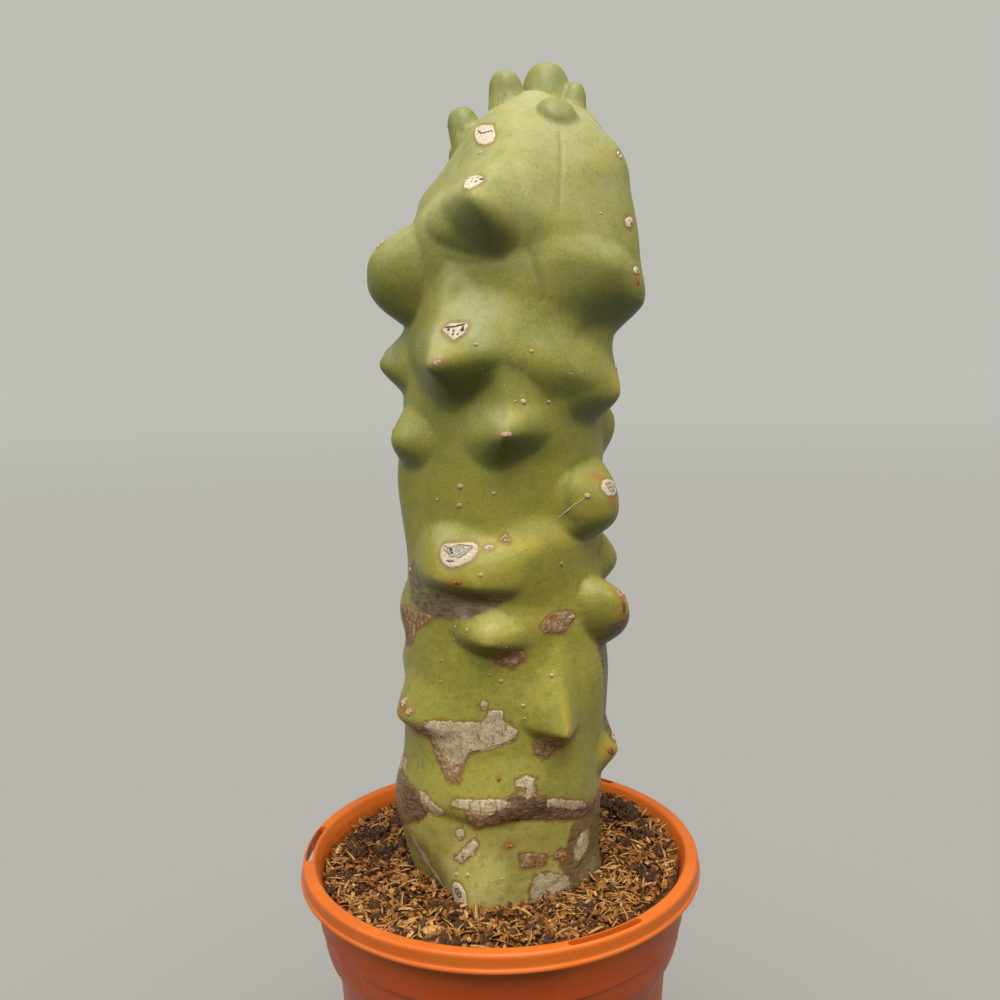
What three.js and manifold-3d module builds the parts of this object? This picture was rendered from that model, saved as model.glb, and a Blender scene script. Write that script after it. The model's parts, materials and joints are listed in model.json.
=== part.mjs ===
// Totem pole cactus in a plastic nursery pot, in millimetres with +Z up.
// The origin is the middle of the pot's foot, and -Y is the side that faces the viewer.
import * as THREE from 'three';
import { mergeVertices } from 'three/addons/utils/BufferGeometryUtils.js';
import Module from 'manifold-3d';

// Pot
const POT_HEIGHT = 115;
const LIP_RADIUS = 70;
const WALL = 1.5;
const FLANGE_INNER_RADIUS = 64.8;
const COLLAR_DEPTH = 21;
const COLLAR_RADIUS = 63.5;
const BODY_TOP_RADIUS = 57.8;
const BODY_TOP_DEPTH = 42;
const FOOT_RADIUS = 53;
const FOOT_WIDTH = 7.5;
const FLOOR_LIFT = 3;
const FLOOR_THICKNESS = 1.6;
const POT_SIDES = 60;

// Slots through the flange, for hanging the pot
const SLOT_ANGLES = [178, 298, 58];
const SLOT_SPAN = 20.5;
const SLOT_INNER_RADIUS = 65.9;
const SLOT_OUTER_RADIUS = 68.2;

// Drainage holes through the floor
const DRAIN_RADIUS = 4;
const DRAIN_CIRCLE = 34;
const DRAIN_COUNT = 6;

// Soil
const SOIL_DEPTH = 5.5;
const SOIL_SLOPE = 0.035;
const SOIL_GAP = 0.3;
const SOIL_RINGS = 11;
const CRUMB_HEIGHT = 1.1;
const HOLE_DEPTH = 60;
const HOLE_GAP = 0.8;
const HOLE_SIDES = 40;
const HOLE_CENTRE = [1.2, 0];

// Stem, with heights measured from the top of the pot's rim
const STEM_SIDES = 52;
const STEM_ROW = 3.6;
const STEM_DOME_ROWS = 20;
const BURIED_HEIGHTS = [-18, -28, -40, -HOLE_DEPTH];
const SHOULDER = 205;
const APEX = 257;
const APEX_CENTRE = [15, 4];
const DOME_POWER = 1.25;
const LEAN_END = 0.68;

// Height, radius and centre along X of the stem without its noses
const STATIONS = [
  [-HOLE_DEPTH, 26.5, 0.5],
  [-30, 31, 0.5],
  [-8, 33, 1.5],
  [5, 34.4, 0.8],
  [20, 35.4, 0.2],
  [40, 34.8, 2],
  [60, 35, 3.3],
  [80, 34.4, 3.2],
  [100, 33.2, 3.4],
  [120, 33, 3.4],
  [140, 33.6, 3.6],
  [160, 33.6, 4.4],
  [176, 34, 5.4],
  [190, 34.6, 6.8],
  [SHOULDER, 34.6, 8],
];

// Noses, brows and knobs of the stem, each raised from its surface: azimuth in degrees from the
// front towards +X, height, reach to the left, right, up and down, how far it stands out, how far
// its tip hangs, point (1 sharp, 2.5 round) and skirt (1 a firm edge, 2 a soft one).
const NOSES = [
  // front left rib
  [-16.5, 216, 13, 12, 18, 14, 7, 2.5, 1.2, 1.2],
  [-13, 217, 19, 19, 30, 16, 3.6, 0.5, 2, 1.6],
  [-20.5, 211, 15, 13, 14, 11, 3.2, 0, 2.4, 0.85],
  [-30.5, 173, 17, 17, 24, 18, 10.5, 4.2, 1.15, 1.4],
  [-8, 171, 20, 30, 20, 16, 6, 1.5, 1.7, 1.6],
  [-26, 103.5, 22, 21, 18, 8.5, 8, 1.5, 1.8, 1.4],
  [10, 110, 22, 27, 13, 24, 4, 0, 1.8, 2],
  // front middle
  [0, 149.5, 13, 15, 19, 13, 8.5, 3, 1.2, 1.4],
  [14, 152, 16, 20, 17, 15, 2.4, 0.5, 1.8, 1.8],
  [-11.5, 84, 13, 13, 11, 8, 6.5, 1.5, 1.4, 1.3],
  [0, 88, 24, 22, 9, 11, 2.4, 0, 1.5, 2],
  [27, 54.5, 13, 11, 27, 8, 8, 1.5, 1.1, 1.3],
  [-5, 30, 34, 36, 14, 7, 2.2, 0.5, 2.4, 1.8],
  // left rib
  [-78, 200, 16.5, 16, 14, 17, 12.8, 0.5, 2.6, 1.25],
  [-52, 206, 18, 20, 16, 18, 3, 0, 2, 2],
  [-84, 169, 13, 13, 13, 12, 8, 0.5, 1.7, 1.6],
  [-80, 128, 20, 18, 22, 24, 2.2, 0, 2, 2],
  [-64, 144.5, 13, 14, 12, 11, 6.3, 0, 1.8, 1.5],
  [-66, 55, 15, 30, 16, 8, 5, 1, 1.5, 1.6],
  [-74, 25, 14, 16, 12, 22, 2, 0, 1.5, 2],
  [-105, 222, 14, 16, 16, 12, 3.5, 0.5, 1.5, 2],
  [-98, 88, 13, 13, 12, 12, 2.6, 0, 2, 1.6],
  [-106, 66, 14, 14, 14, 11, 3, 0, 1.5, 2],
  // right rib
  [66, 198, 32, 26, 27, 27, 8.3, 1.2, 2.2, 1.8],
  [72, 191, 16, 18, 17, 14, 3, 0.5, 1.5, 2],
  [36, 197, 24, 22, 10, 22, 3, 0.5, 1.6, 1.8],
  [60, 228, 20, 18, 27, 28, 5, 0, 2, 2],
  [62, 161.5, 20, 14, 20, 12, 7.2, 2, 1.6, 1.5],
  [34, 167, 18, 18, 18, 16, 4, 0.5, 1.5, 2],
  [97, 146, 11, 12, 10, 10, 4.5, 0, 2, 1.5],
  [57, 124, 17, 15, 15.5, 12.5, 8.8, 0.5, 2.5, 1.15],
  [92, 104, 12, 12, 11, 9, 5.5, 0, 2, 1.5],
  [65, 87, 12, 11.5, 11.5, 12, 10, 0, 2.6, 1.05],
  [60, 66, 22, 20, 20, 20, 1.6, 0, 1.5, 2],
  [76, 37.5, 10, 11, 12, 9, 5.5, 0.5, 1.4, 1.5],
  // foot of the stem: a rib at the front, a flat to its left and a spread at the right
  [-17, -4, 15, 18, 26, 24, 5, 0, 1.5, 1.6],
  [-56, -10, 20, 20, 26, 22, -4.5, 0, 2, 2],
  [62, -14, 20, 20, 18, 18, 4, 0, 2, 2],
  // fullness of the dome behind
  [128, 247, 22, 22, 16, 20, 7.5, 0, 2, 1.6],
  // back right rib
  [100, 214, 18, 18, 20, 13, 6, 1, 1.5, 2],
  [103, 182, 16, 16, 15, 13, 5, 0.5, 1.5, 2],
  [140, 222, 18, 18, 22, 13, 8, 2, 1.5, 2],
  [138, 192, 16, 18, 16, 12, 9, 2, 1.5, 2],
  [143, 160, 14, 14, 14, 13, 8.5, 0.5, 2.2, 1.2],
  [136, 126, 16, 14, 16, 11, 8.5, 1.5, 1.5, 2],
  [139, 88, 18, 20, 14, 9, 6.5, 1.5, 1.8, 1.6],
  [138, 52, 15, 15, 14, 10, 6, 1, 1.5, 2],
  [144, 20, 15, 15, 12, 12, 4, 0, 1.5, 2],
  // back rib
  [182, 206, 20, 20, 22, 14, 9.5, 2.5, 1.5, 2],
  [178, 172, 17, 19, 17, 13, 8.5, 2, 1.5, 2],
  [186, 138, 20, 18, 16, 12, 6.5, 2, 1.5, 2],
  [181, 107, 18, 17, 16, 10, 8.5, 1.5, 2, 1.4],
  [183, 70, 16, 18, 14, 11, 7, 1, 1.5, 2],
  [179, 33, 17, 17, 13, 10, 5, 0.5, 1.5, 2],
  // back left rib
  [-140, 218, 18, 18, 22, 14, 8, 2, 1.5, 2],
  [-136, 184, 14, 15, 14, 14, 9.5, 0.5, 2.2, 1.2],
  [-142, 152, 16, 16, 16, 12, 8.5, 1.5, 1.5, 2],
  [-138, 118, 18, 16, 16, 11, 7.5, 1, 1.5, 2],
  [-144, 83, 13, 14, 12, 12, 8.5, 0.5, 2.4, 1.1],
  [-138, 48, 16, 16, 14, 10, 6, 1, 1.5, 2],
  [-142, 16, 15, 15, 12, 12, 4, 0, 1.5, 2],
];

// Young lobes round the growing tip: the place of its top above the rim, its radius and length, and
// the azimuth and tilt of its axis.
const LOBES = [
  [20.5, 13, 268, 8.6, 14, 0, 0],
  [6, 0, 262.3, 5.8, 9, -60, 8],
  [30, 9, 260.8, 4.9, 12, 90, 8],
  [-8.6, 5, 252.4, 5.8, 10, -80, 14],
  [23.8, -15, 247.6, 7.4, 7, 26, 55],
  [3, 25, 248, 6.8, 8, 172, 35],
  [-9, 19, 243.5, 6.2, 8, -140, 35],
];

const wasm = await Module();
wasm.setup();

function toSolid(geometry) {
  const bare = geometry.clone();
  bare.deleteAttribute('normal');
  bare.deleteAttribute('uv');
  const merged = mergeVertices(bare, 1e-4);
  const vertProperties = new Float32Array(merged.attributes.position.array);
  const triVerts = new Uint32Array(merged.index.array);
  return new wasm.Manifold(new wasm.Mesh({ numProp: 3, vertProperties, triVerts }));
}

function toGeometry(solid) {
  const { vertProperties, triVerts } = solid.getMesh();
  const geometry = new THREE.BufferGeometry();
  geometry.setAttribute('position', new THREE.BufferAttribute(vertProperties, 3));
  geometry.setIndex(new THREE.BufferAttribute(triVerts, 1));
  geometry.computeVertexNormals();
  return geometry;
}

function cut(geometry, cutters) {
  const solid = cutters.reduce((body, cutter) => body.subtract(toSolid(cutter)), toSolid(geometry));
  return toGeometry(solid);
}

// A lathe turns its profile about Y, so it is stood up to turn about Z.
function turned(profile, sides) {
  const points = profile.map(([radius, height]) => new THREE.Vector2(radius, height));
  return new THREE.LatheGeometry(points, sides).rotateX(Math.PI / 2);
}

function upright(shape, height, base) {
  return new THREE.ExtrudeGeometry(shape, { depth: height, bevelEnabled: false }).translate(0, 0, base);
}

// Outside of the pot's wall from the foot to the underside of the flange, radius and height
function outerWall() {
  const top = POT_HEIGHT;
  return [
    [FOOT_RADIUS - FOOT_WIDTH, 0],
    [FOOT_RADIUS - 0.6, 0],
    [FOOT_RADIUS, 0.7],
    [BODY_TOP_RADIUS, top - BODY_TOP_DEPTH],
    [58.4, top - 37.5],
    [60, top - 34.2],
    [61.7, top - 31],
    [62.7, top - 27],
    [63.2, top - 22.6],
    [COLLAR_RADIUS - 0.1, top - COLLAR_DEPTH - 0.3],
    [COLLAR_RADIUS + 0.5, top - COLLAR_DEPTH + 0.4],
    [64.1, top - 6],
    [64.8, top - 3],
    [65.5, top - 1.8],
  ];
}

// The flange with its turned-down lip, from its underside round to the inner edge
function flange() {
  const top = POT_HEIGHT;
  return [
    [68.5, top - 1.8],
    [68.7, top - 6],
    [69.6, top - 6.1],
    [LIP_RADIUS, top - 5.5],
    [69.8, top - 4.8],
    [69.3, top - 4.3],
    [69.2, top - 1],
    [68.8, top - 0.3],
    [68.3, top],
    [65.5, top],
    [FLANGE_INNER_RADIUS, top - 0.4],
  ];
}

// Inside of the pot's wall from the rim down to the floor
function innerWall() {
  const top = POT_HEIGHT;
  return [
    [63.4, top - 3.2],
    [64.1 - WALL, top - 6],
    [COLLAR_RADIUS - WALL, top - COLLAR_DEPTH],
    [61.1, top - 27],
    [58.5, top - 34.2],
    [BODY_TOP_RADIUS - WALL, top - BODY_TOP_DEPTH],
    [FOOT_RADIUS - WALL + 0.2, FLOOR_LIFT + FLOOR_THICKNESS],
  ];
}

function slotCutter(angle) {
  const start = THREE.MathUtils.degToRad(angle - SLOT_SPAN / 2);
  const end = THREE.MathUtils.degToRad(angle + SLOT_SPAN / 2);
  const shape = new THREE.Shape();
  shape.absarc(0, 0, SLOT_OUTER_RADIUS, start, end, false);
  shape.absarc(0, 0, SLOT_INNER_RADIUS, end, start, true);
  return upright(shape, 3.2, POT_HEIGHT - 2.2);
}

function drainCutter(x, y) {
  const hole = new THREE.CylinderGeometry(DRAIN_RADIUS, DRAIN_RADIUS, 6, 14);
  return hole.rotateX(Math.PI / 2).translate(x, y, FLOOR_LIFT + FLOOR_THICKNESS / 2);
}

function potGeometry() {
  const floorTop = FLOOR_LIFT + FLOOR_THICKNESS;
  const profile = [
    [0, FLOOR_LIFT],
    [FOOT_RADIUS - FOOT_WIDTH - 1.5, FLOOR_LIFT],
    ...outerWall(),
    ...flange(),
    ...innerWall(),
    [0, floorTop],
  ];
  const cutters = SLOT_ANGLES.map(slotCutter);
  cutters.push(drainCutter(0, 0));
  for (let i = 0; i < DRAIN_COUNT; i += 1) {
    const angle = (2 * Math.PI * i) / DRAIN_COUNT;
    cutters.push(drainCutter(DRAIN_CIRCLE * Math.cos(angle), DRAIN_CIRCLE * Math.sin(angle)));
  }
  return cut(turned(profile, POT_SIDES), cutters);
}

// Stem centre and radius at a height, by a smooth curve through the stations
function station(height) {
  const last = STATIONS.length - 1;
  const clamped = THREE.MathUtils.clamp(height, STATIONS[0][0], STATIONS[last][0]);
  let i = 0;
  while (i < last - 1 && clamped > STATIONS[i + 1][0]) i += 1;
  const span = STATIONS[i + 1][0] - STATIONS[i][0];
  const t = (clamped - STATIONS[i][0]) / span;
  const slope = (k, column) => {
    const before = STATIONS[Math.max(0, k - 1)];
    const after = STATIONS[Math.min(last, k + 1)];
    return (after[column] - before[column]) / (after[0] - before[0]);
  };
  const value = (column) => (2 * t ** 3 - 3 * t ** 2 + 1) * STATIONS[i][column]
    + (t ** 3 - 2 * t ** 2 + t) * span * slope(i, column)
    + (3 * t ** 2 - 2 * t ** 3) * STATIONS[i + 1][column]
    + (t ** 3 - t ** 2) * span * slope(i + 1, column);
  return { radius: value(1), x: value(2) };
}

// A point of the plain stem. Level is a height up to the shoulder, and past it the shoulder plus
// the angle of the dome in radians.
function plainPoint(azimuth, level) {
  const dome = Math.max(0, level - SHOULDER);
  const { radius, x } = station(level);
  const share = Math.min(1, Math.sin(dome) / LEAN_END);
  const lean = share * share * (3 - 2 * share);
  const reach = radius * Math.max(0, Math.cos(dome)) ** DOME_POWER;
  const centreX = x + (APEX_CENTRE[0] - STATIONS[STATIONS.length - 1][2]) * lean;
  return new THREE.Vector3(
    centreX + reach * Math.sin(azimuth),
    APEX_CENTRE[1] * lean - reach * Math.cos(azimuth),
    Math.min(level, SHOULDER) + (APEX - SHOULDER) * Math.sin(dome),
  );
}

function levelOf(height) {
  if (height <= SHOULDER) return height;
  return SHOULDER + Math.asin(Math.min(1, (height - SHOULDER) / (APEX - SHOULDER)));
}

function makeNose([degrees, height, left, right, up, down, out, droop, point, skirt]) {
  const azimuth = THREE.MathUtils.degToRad(degrees);
  const level = levelOf(height);
  const centre = plainPoint(azimuth, level);
  const across = new THREE.Vector3(Math.cos(azimuth), Math.sin(azimuth), 0);
  const along = plainPoint(azimuth, level + 1e-3).sub(plainPoint(azimuth, level - 1e-3));
  along.addScaledVector(across, -along.dot(across)).normalize();
  const outward = across.clone().cross(along);
  const push = outward.clone().multiplyScalar(out);
  push.z -= droop;
  return { centre, across, along, outward, push, left, right, up, down, point, skirt };
}

function makeLobe([x, y, z, radius, length, degrees, tiltDegrees]) {
  const azimuth = THREE.MathUtils.degToRad(degrees);
  const tilt = THREE.MathUtils.degToRad(tiltDegrees);
  const sideways = Math.sin(tilt);
  const axis = new THREE.Vector3(Math.sin(azimuth) * sideways, -Math.cos(azimuth) * sideways, Math.cos(tilt));
  const foot = new THREE.Vector3(x, y, z).addScaledVector(axis, -length);
  return { foot, axis, radius, length };
}

const SHAPED_NOSES = NOSES.map(makeNose);
const SHAPED_LOBES = LOBES.map(makeLobe);

// The surface is read a little off its place, so that the noses are uneven and not ovals.
function strayed(p) {
  return new THREE.Vector3(
    p.x + 1.1 * Math.sin(0.16 * p.z + 0.09 * p.y + 0.6),
    p.y + 1.1 * Math.sin(0.15 * p.z - 0.1 * p.x + 2.1),
    p.z + 1.3 * Math.sin(0.17 * p.x + 0.06 * p.z + 1) + 1.3 * Math.sin(0.15 * p.y - 0.05 * p.z),
  );
}

function noseShare(nose, stray) {
  const offset = stray.clone().sub(nose.centre);
  if (offset.dot(nose.outward) < -30) return 0;
  const sideways = offset.dot(nose.across);
  const upwards = offset.dot(nose.along);
  const u = sideways / (sideways < 0 ? nose.left : nose.right);
  const v = upwards / (upwards < 0 ? nose.down : nose.up);
  const bend = 1 + nose.point / 2;
  const distance = (Math.abs(u) ** bend + Math.abs(v) ** bend) ** (1 / bend);
  return distance < 1 ? (1 - distance ** nose.point) ** nose.skirt : 0;
}

// How far a lobe lifts a point along its axis
function lobeCover(lobe, point) {
  const offset = point.clone().sub(lobe.foot);
  const along = offset.dot(lobe.axis);
  const away = offset.addScaledVector(lobe.axis, -along).length() / lobe.radius;
  if (away >= 1 || along < -lobe.length) return 0;
  return Math.max(0, lobe.length * Math.sqrt(1 - away ** 3) - along);
}

function stemPoint(azimuth, level) {
  const plain = plainPoint(azimuth, level);
  const stray = strayed(plain);
  const moved = plain.clone();
  for (const nose of SHAPED_NOSES) {
    moved.addScaledVector(nose.push, noseShare(nose, stray));
  }
  for (const lobe of SHAPED_LOBES) {
    moved.addScaledVector(lobe.axis, lobeCover(lobe, moved));
  }
  moved.z += POT_HEIGHT;
  return moved;
}

// Levels of the stem's rings from the dome down to the flat underside
function stemLevels() {
  const levels = [];
  for (let i = STEM_DOME_ROWS - 1; i > 0; i -= 1) {
    levels.push(SHOULDER + (i / STEM_DOME_ROWS) * (Math.PI / 2));
  }
  for (let height = SHOULDER; height > BURIED_HEIGHTS[0] + STEM_ROW; height -= STEM_ROW) {
    levels.push(height);
  }
  return [...levels, ...BURIED_HEIGHTS];
}

// The grid of a sphere drawn over the plant: its poles are the tip and the middle of the underside.
function stemGeometry() {
  const levels = stemLevels();
  const geometry = new THREE.SphereGeometry(1, STEM_SIDES, levels.length + 1);
  const position = geometry.attributes.position;
  const tip = stemPoint(0, SHOULDER + Math.PI / 2);
  const underside = new THREE.Vector3(STATIONS[0][2], 0, POT_HEIGHT - HOLE_DEPTH);
  for (let i = 0; i < position.count; i += 1) {
    const column = i % (STEM_SIDES + 1);
    const row = Math.floor(i / (STEM_SIDES + 1));
    const azimuth = (2 * Math.PI * (column % STEM_SIDES)) / STEM_SIDES;
    let point = tip;
    if (row > levels.length) point = underside;
    else if (row > 0) point = stemPoint(azimuth, levels[row - 1]);
    position.setXYZ(i, point.x, point.y, point.z);
  }
  return toGeometry(toSolid(geometry));
}

// Plain upright hole that clears every section of the stem from its underside to above the soil
function stemHole() {
  const [centreX, centreY] = HOLE_CENTRE;
  const shape = new THREE.Shape();
  for (let i = 0; i < HOLE_SIDES; i += 1) {
    const azimuth = (2 * Math.PI * i) / HOLE_SIDES;
    let reach = 0;
    for (let height = -HOLE_DEPTH; height <= 2; height += 2) {
      const point = stemPoint(azimuth, height);
      reach = Math.max(reach, Math.hypot(point.x - centreX, point.y - centreY));
    }
    reach += HOLE_GAP;
    const x = centreX + reach * Math.sin(azimuth);
    const y = centreY - reach * Math.cos(azimuth);
    if (i === 0) shape.moveTo(x, y);
    else shape.lineTo(x, y);
  }
  shape.closePath();
  return upright(shape, HOLE_DEPTH + 20, POT_HEIGHT - HOLE_DEPTH);
}

// Uneven top of the soil, a little higher to the right
function soilHeight(x, y) {
  const heaps = Math.sin(0.21 * x + 1.3) * Math.sin(0.24 * y + 0.4);
  const crumbs = Math.sin(0.62 * x + 0.35 * y) * Math.sin(0.57 * y - 0.31 * x + 1.7);
  return POT_HEIGHT - SOIL_DEPTH + SOIL_SLOPE * x + CRUMB_HEIGHT * (0.6 * heaps + 0.5 * crumbs);
}

function wallRadius(height) {
  const wall = innerWall();
  const upper = wall.findIndex(([, z], i) => i + 1 < wall.length && height <= z && height >= wall[i + 1][1]);
  const [r0, z0] = wall[upper];
  const [r1, z1] = wall[upper + 1];
  return r0 + ((height - z0) / (z1 - z0)) * (r1 - r0);
}

// A filled plug that follows the pot's wall, with the rough top drawn on the rings of a lathe
function soilGeometry() {
  const floorTop = FLOOR_LIFT + FLOOR_THICKNESS;
  const edge = POT_HEIGHT - SOIL_DEPTH;
  const profile = [[0, floorTop]];
  for (const [radius, height] of innerWall().reverse()) {
    if (height < edge - 4) profile.push([radius - SOIL_GAP, height]);
  }
  const sideRings = profile.length;
  for (let i = 0; i < SOIL_RINGS; i += 1) {
    profile.push([(wallRadius(edge) - 1) * (1 - i / SOIL_RINGS), edge]);
  }
  profile.push([0, edge]);
  const plug = turned(profile, POT_SIDES);
  const position = plug.attributes.position;
  for (let i = 0; i < position.count; i += 1) {
    if (i % profile.length >= sideRings) {
      position.setZ(i, soilHeight(position.getX(i), position.getY(i)));
    }
  }
  return cut(plug, [stemHole()]);
}

function part(name, geometry, color, roughness) {
  const mesh = new THREE.Mesh(geometry, new THREE.MeshStandardMaterial({ color, roughness, metalness: 0 }));
  mesh.name = name;
  return mesh;
}

const plant = new THREE.Group();
plant.add(part('pot', potGeometry(), 0xd9621c, 0.45));
plant.add(part('soil', soilGeometry(), 0x5a3d25, 0.95));
plant.add(part('cactus_stem', stemGeometry(), 0x8a9440, 0.6));

export default plant;
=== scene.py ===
"""Potted totem pole cactus: a smooth, knobbly, ribless stem that grows in coir and bark compost in an
orange nursery pot. Shapes are in millimetres. A place on the stem is an azimuth in degrees, 0 at the
front and positive towards +X, and a height above the top of the pot's rim."""

import json
import math

import bmesh
import bpy
import numpy as np
from bpy.props import FloatProperty, FloatVectorProperty, IntProperty, PointerProperty
from bpy.types import Operator, Panel, PropertyGroup
from mathutils import Matrix, Vector, noise

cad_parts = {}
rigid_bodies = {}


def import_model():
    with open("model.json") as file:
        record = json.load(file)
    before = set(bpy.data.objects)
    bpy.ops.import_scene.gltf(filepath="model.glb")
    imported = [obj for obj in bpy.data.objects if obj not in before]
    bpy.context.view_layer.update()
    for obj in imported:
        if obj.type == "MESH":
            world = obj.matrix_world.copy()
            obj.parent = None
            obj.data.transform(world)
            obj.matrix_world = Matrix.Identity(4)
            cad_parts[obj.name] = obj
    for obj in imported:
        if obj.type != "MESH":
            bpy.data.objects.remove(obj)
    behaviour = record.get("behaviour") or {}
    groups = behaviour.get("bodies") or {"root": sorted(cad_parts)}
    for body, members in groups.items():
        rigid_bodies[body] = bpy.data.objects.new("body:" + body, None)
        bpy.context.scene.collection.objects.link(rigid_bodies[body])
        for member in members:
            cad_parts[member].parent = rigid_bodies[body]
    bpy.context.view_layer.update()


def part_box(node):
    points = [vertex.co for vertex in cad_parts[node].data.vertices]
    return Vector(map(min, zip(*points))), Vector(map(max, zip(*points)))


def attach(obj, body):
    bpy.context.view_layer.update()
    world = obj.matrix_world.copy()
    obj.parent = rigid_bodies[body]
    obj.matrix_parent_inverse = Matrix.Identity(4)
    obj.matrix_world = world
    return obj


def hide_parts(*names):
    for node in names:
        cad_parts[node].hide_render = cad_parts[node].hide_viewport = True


bl_info = {
    "name": "Potted totem pole cactus",
    "version": (1, 0, 0),
    "blender": (4, 5, 0),
    "location": "3D View > Sidebar > Cactus",
    "description": "Builds a totem pole cactus in a nursery pot, with its compost and its stage",
    "category": "Add Mesh",
}

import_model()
MM = 0.001
POT_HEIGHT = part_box("pot")[1].z

# The pot's wall, each point a radius and a distance below the rim's top. The foot's distances are
# measured up from the ground.
POT_FOOT = [(0, 3), (44, 3), (45.5, 0), (52.4, 0), (53, 0.7)]
POT_OUTSIDE = [
    (57.8, 42), (58.4, 37.5), (60, 34.2), (61.7, 31), (62.7, 27), (63.2, 22.6),
    (63.4, 21.3), (64, 20.6), (64.1, 6), (64.8, 3), (65.5, 1.8),
]
POT_FLANGE = [
    (68.5, 1.8), (68.7, 6), (69.6, 6.1), (70, 5.5), (69.8, 4.8), (69.3, 4.3),
    (69.2, 1), (68.8, 0.3), (68.3, 0), (65.5, 0), (64.8, 0.4),
]
POT_INSIDE = [(63.4, 3.2), (62.6, 6), (62, 21), (61.1, 27), (58.5, 34.2), (56.3, 42)]
POT_FLOOR_RADIUS = 51.7
POT_FLOOR_TOP = 4.6
POT_SIDES = 200
CORNER_ROUNDING = 0.7
# an edge that turns by more degrees than this is shaded sharp
SHARP_ANGLE = 38

# Slots through the flange: the middle and the span of each in degrees, their radii, their depth, and
# the steps along a side and round an end
SLOT_ANGLES = (178, 298, 58)
SLOT_SPAN = 20.5
SLOT_RADII = (65.9, 68.2)
SLOT_DEPTH = 3.2
SLOT_STEPS = 13
SLOT_END_STEPS = 7

# Drainage holes: one in the middle and a circle of them
DRAIN_RADIUS = 4
DRAIN_CIRCLE = 34
DRAIN_COUNT = 6
DRAIN_SIDES = 32

# The compost's depth below the rim, how its top slopes up to the right, the height of its heaps, its
# gap to the pot's wall, the hole for the stem, the rows of its bed and of the surface that the scatter
# lies on, and the gaps that the scatter keeps
SOIL_DEPTH = 5.5
SOIL_SLOPE = 0.035
HEAP_HEIGHT = 1.1
SOIL_GAP = 0.3
HOLE_DEPTH = 60
HOLE_CENTRE = np.array([1.2, 0])
BED_SIDES = 320
BED_RINGS = 64
SCATTER_SIDES = 120
SCATTER_RINGS = 16
SCATTER_STEM_GAP = 0.1
SCATTER_WALL_GAP = 0.35

# How many forms each kind of crumb, flake and splinter has
FORMS = 12

# The stem without its noses: height, radius and middle along X
STATIONS = np.array([
    (-60, 26.5, 0.5), (-30, 31, 0.5), (-8, 33, 1.5), (5, 34.4, 0.8), (20, 35.4, 0.2),
    (40, 34.8, 2), (60, 35, 3.3), (80, 34.4, 3.2), (100, 33.2, 3.4), (120, 33, 3.4),
    (140, 33.6, 3.6), (160, 33.6, 4.4), (176, 34, 5.4), (190, 34.6, 6.8), (205, 34.6, 8),
])

# The dome over it: its foot and its top above the rim, where its top stands, how slim it is, and the
# share of its height at which it has leaned over
SHOULDER = 205
APEX = 257
APEX_MIDDLE = (15, 4)
DOME_POWER = 1.25
LEAN_END = 0.68

# Columns and rows of the skin, steps round the stem where it enters the compost, the radius at which
# the skin is unrolled, and the depth in the stem past which a nose doesn't act
STEM_COLUMNS = 300
STEM_ROWS = 225
DOME_ROWS = 75
ENTRY_STEPS = 720
GIRTH_RADIUS = 36
NOSE_DEPTH = 30

# Width of the halo round an areole, reach of a crease to each side, the distance from its edge up to
# which a mark is measured, and half the width of the slope from the skin up to cork
HALO_WIDTH = 1.6
SEAM_REACH = 2
MARK_REACH = 6
CORK_EDGE = 0.8

# Rings and sides of the pads of large areoles, small areoles and scabs, how far areoles and scabs
# stand out, and half the width of the dark strokes, rings and lines in the felt and of a scratch
AREOLE_MESH = (26, 84)
SMALL_MESH = (12, 36)
SCAB_MESH = (12, 44)
AREOLE_RISE = 0.28
SCAB_RISE = 0.25
STROKE_WIDTH = 0.2
RING_WIDTH = 0.22
LINE_WIDTH = 0.1
SCRATCH_WIDTH = 0.17

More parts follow.
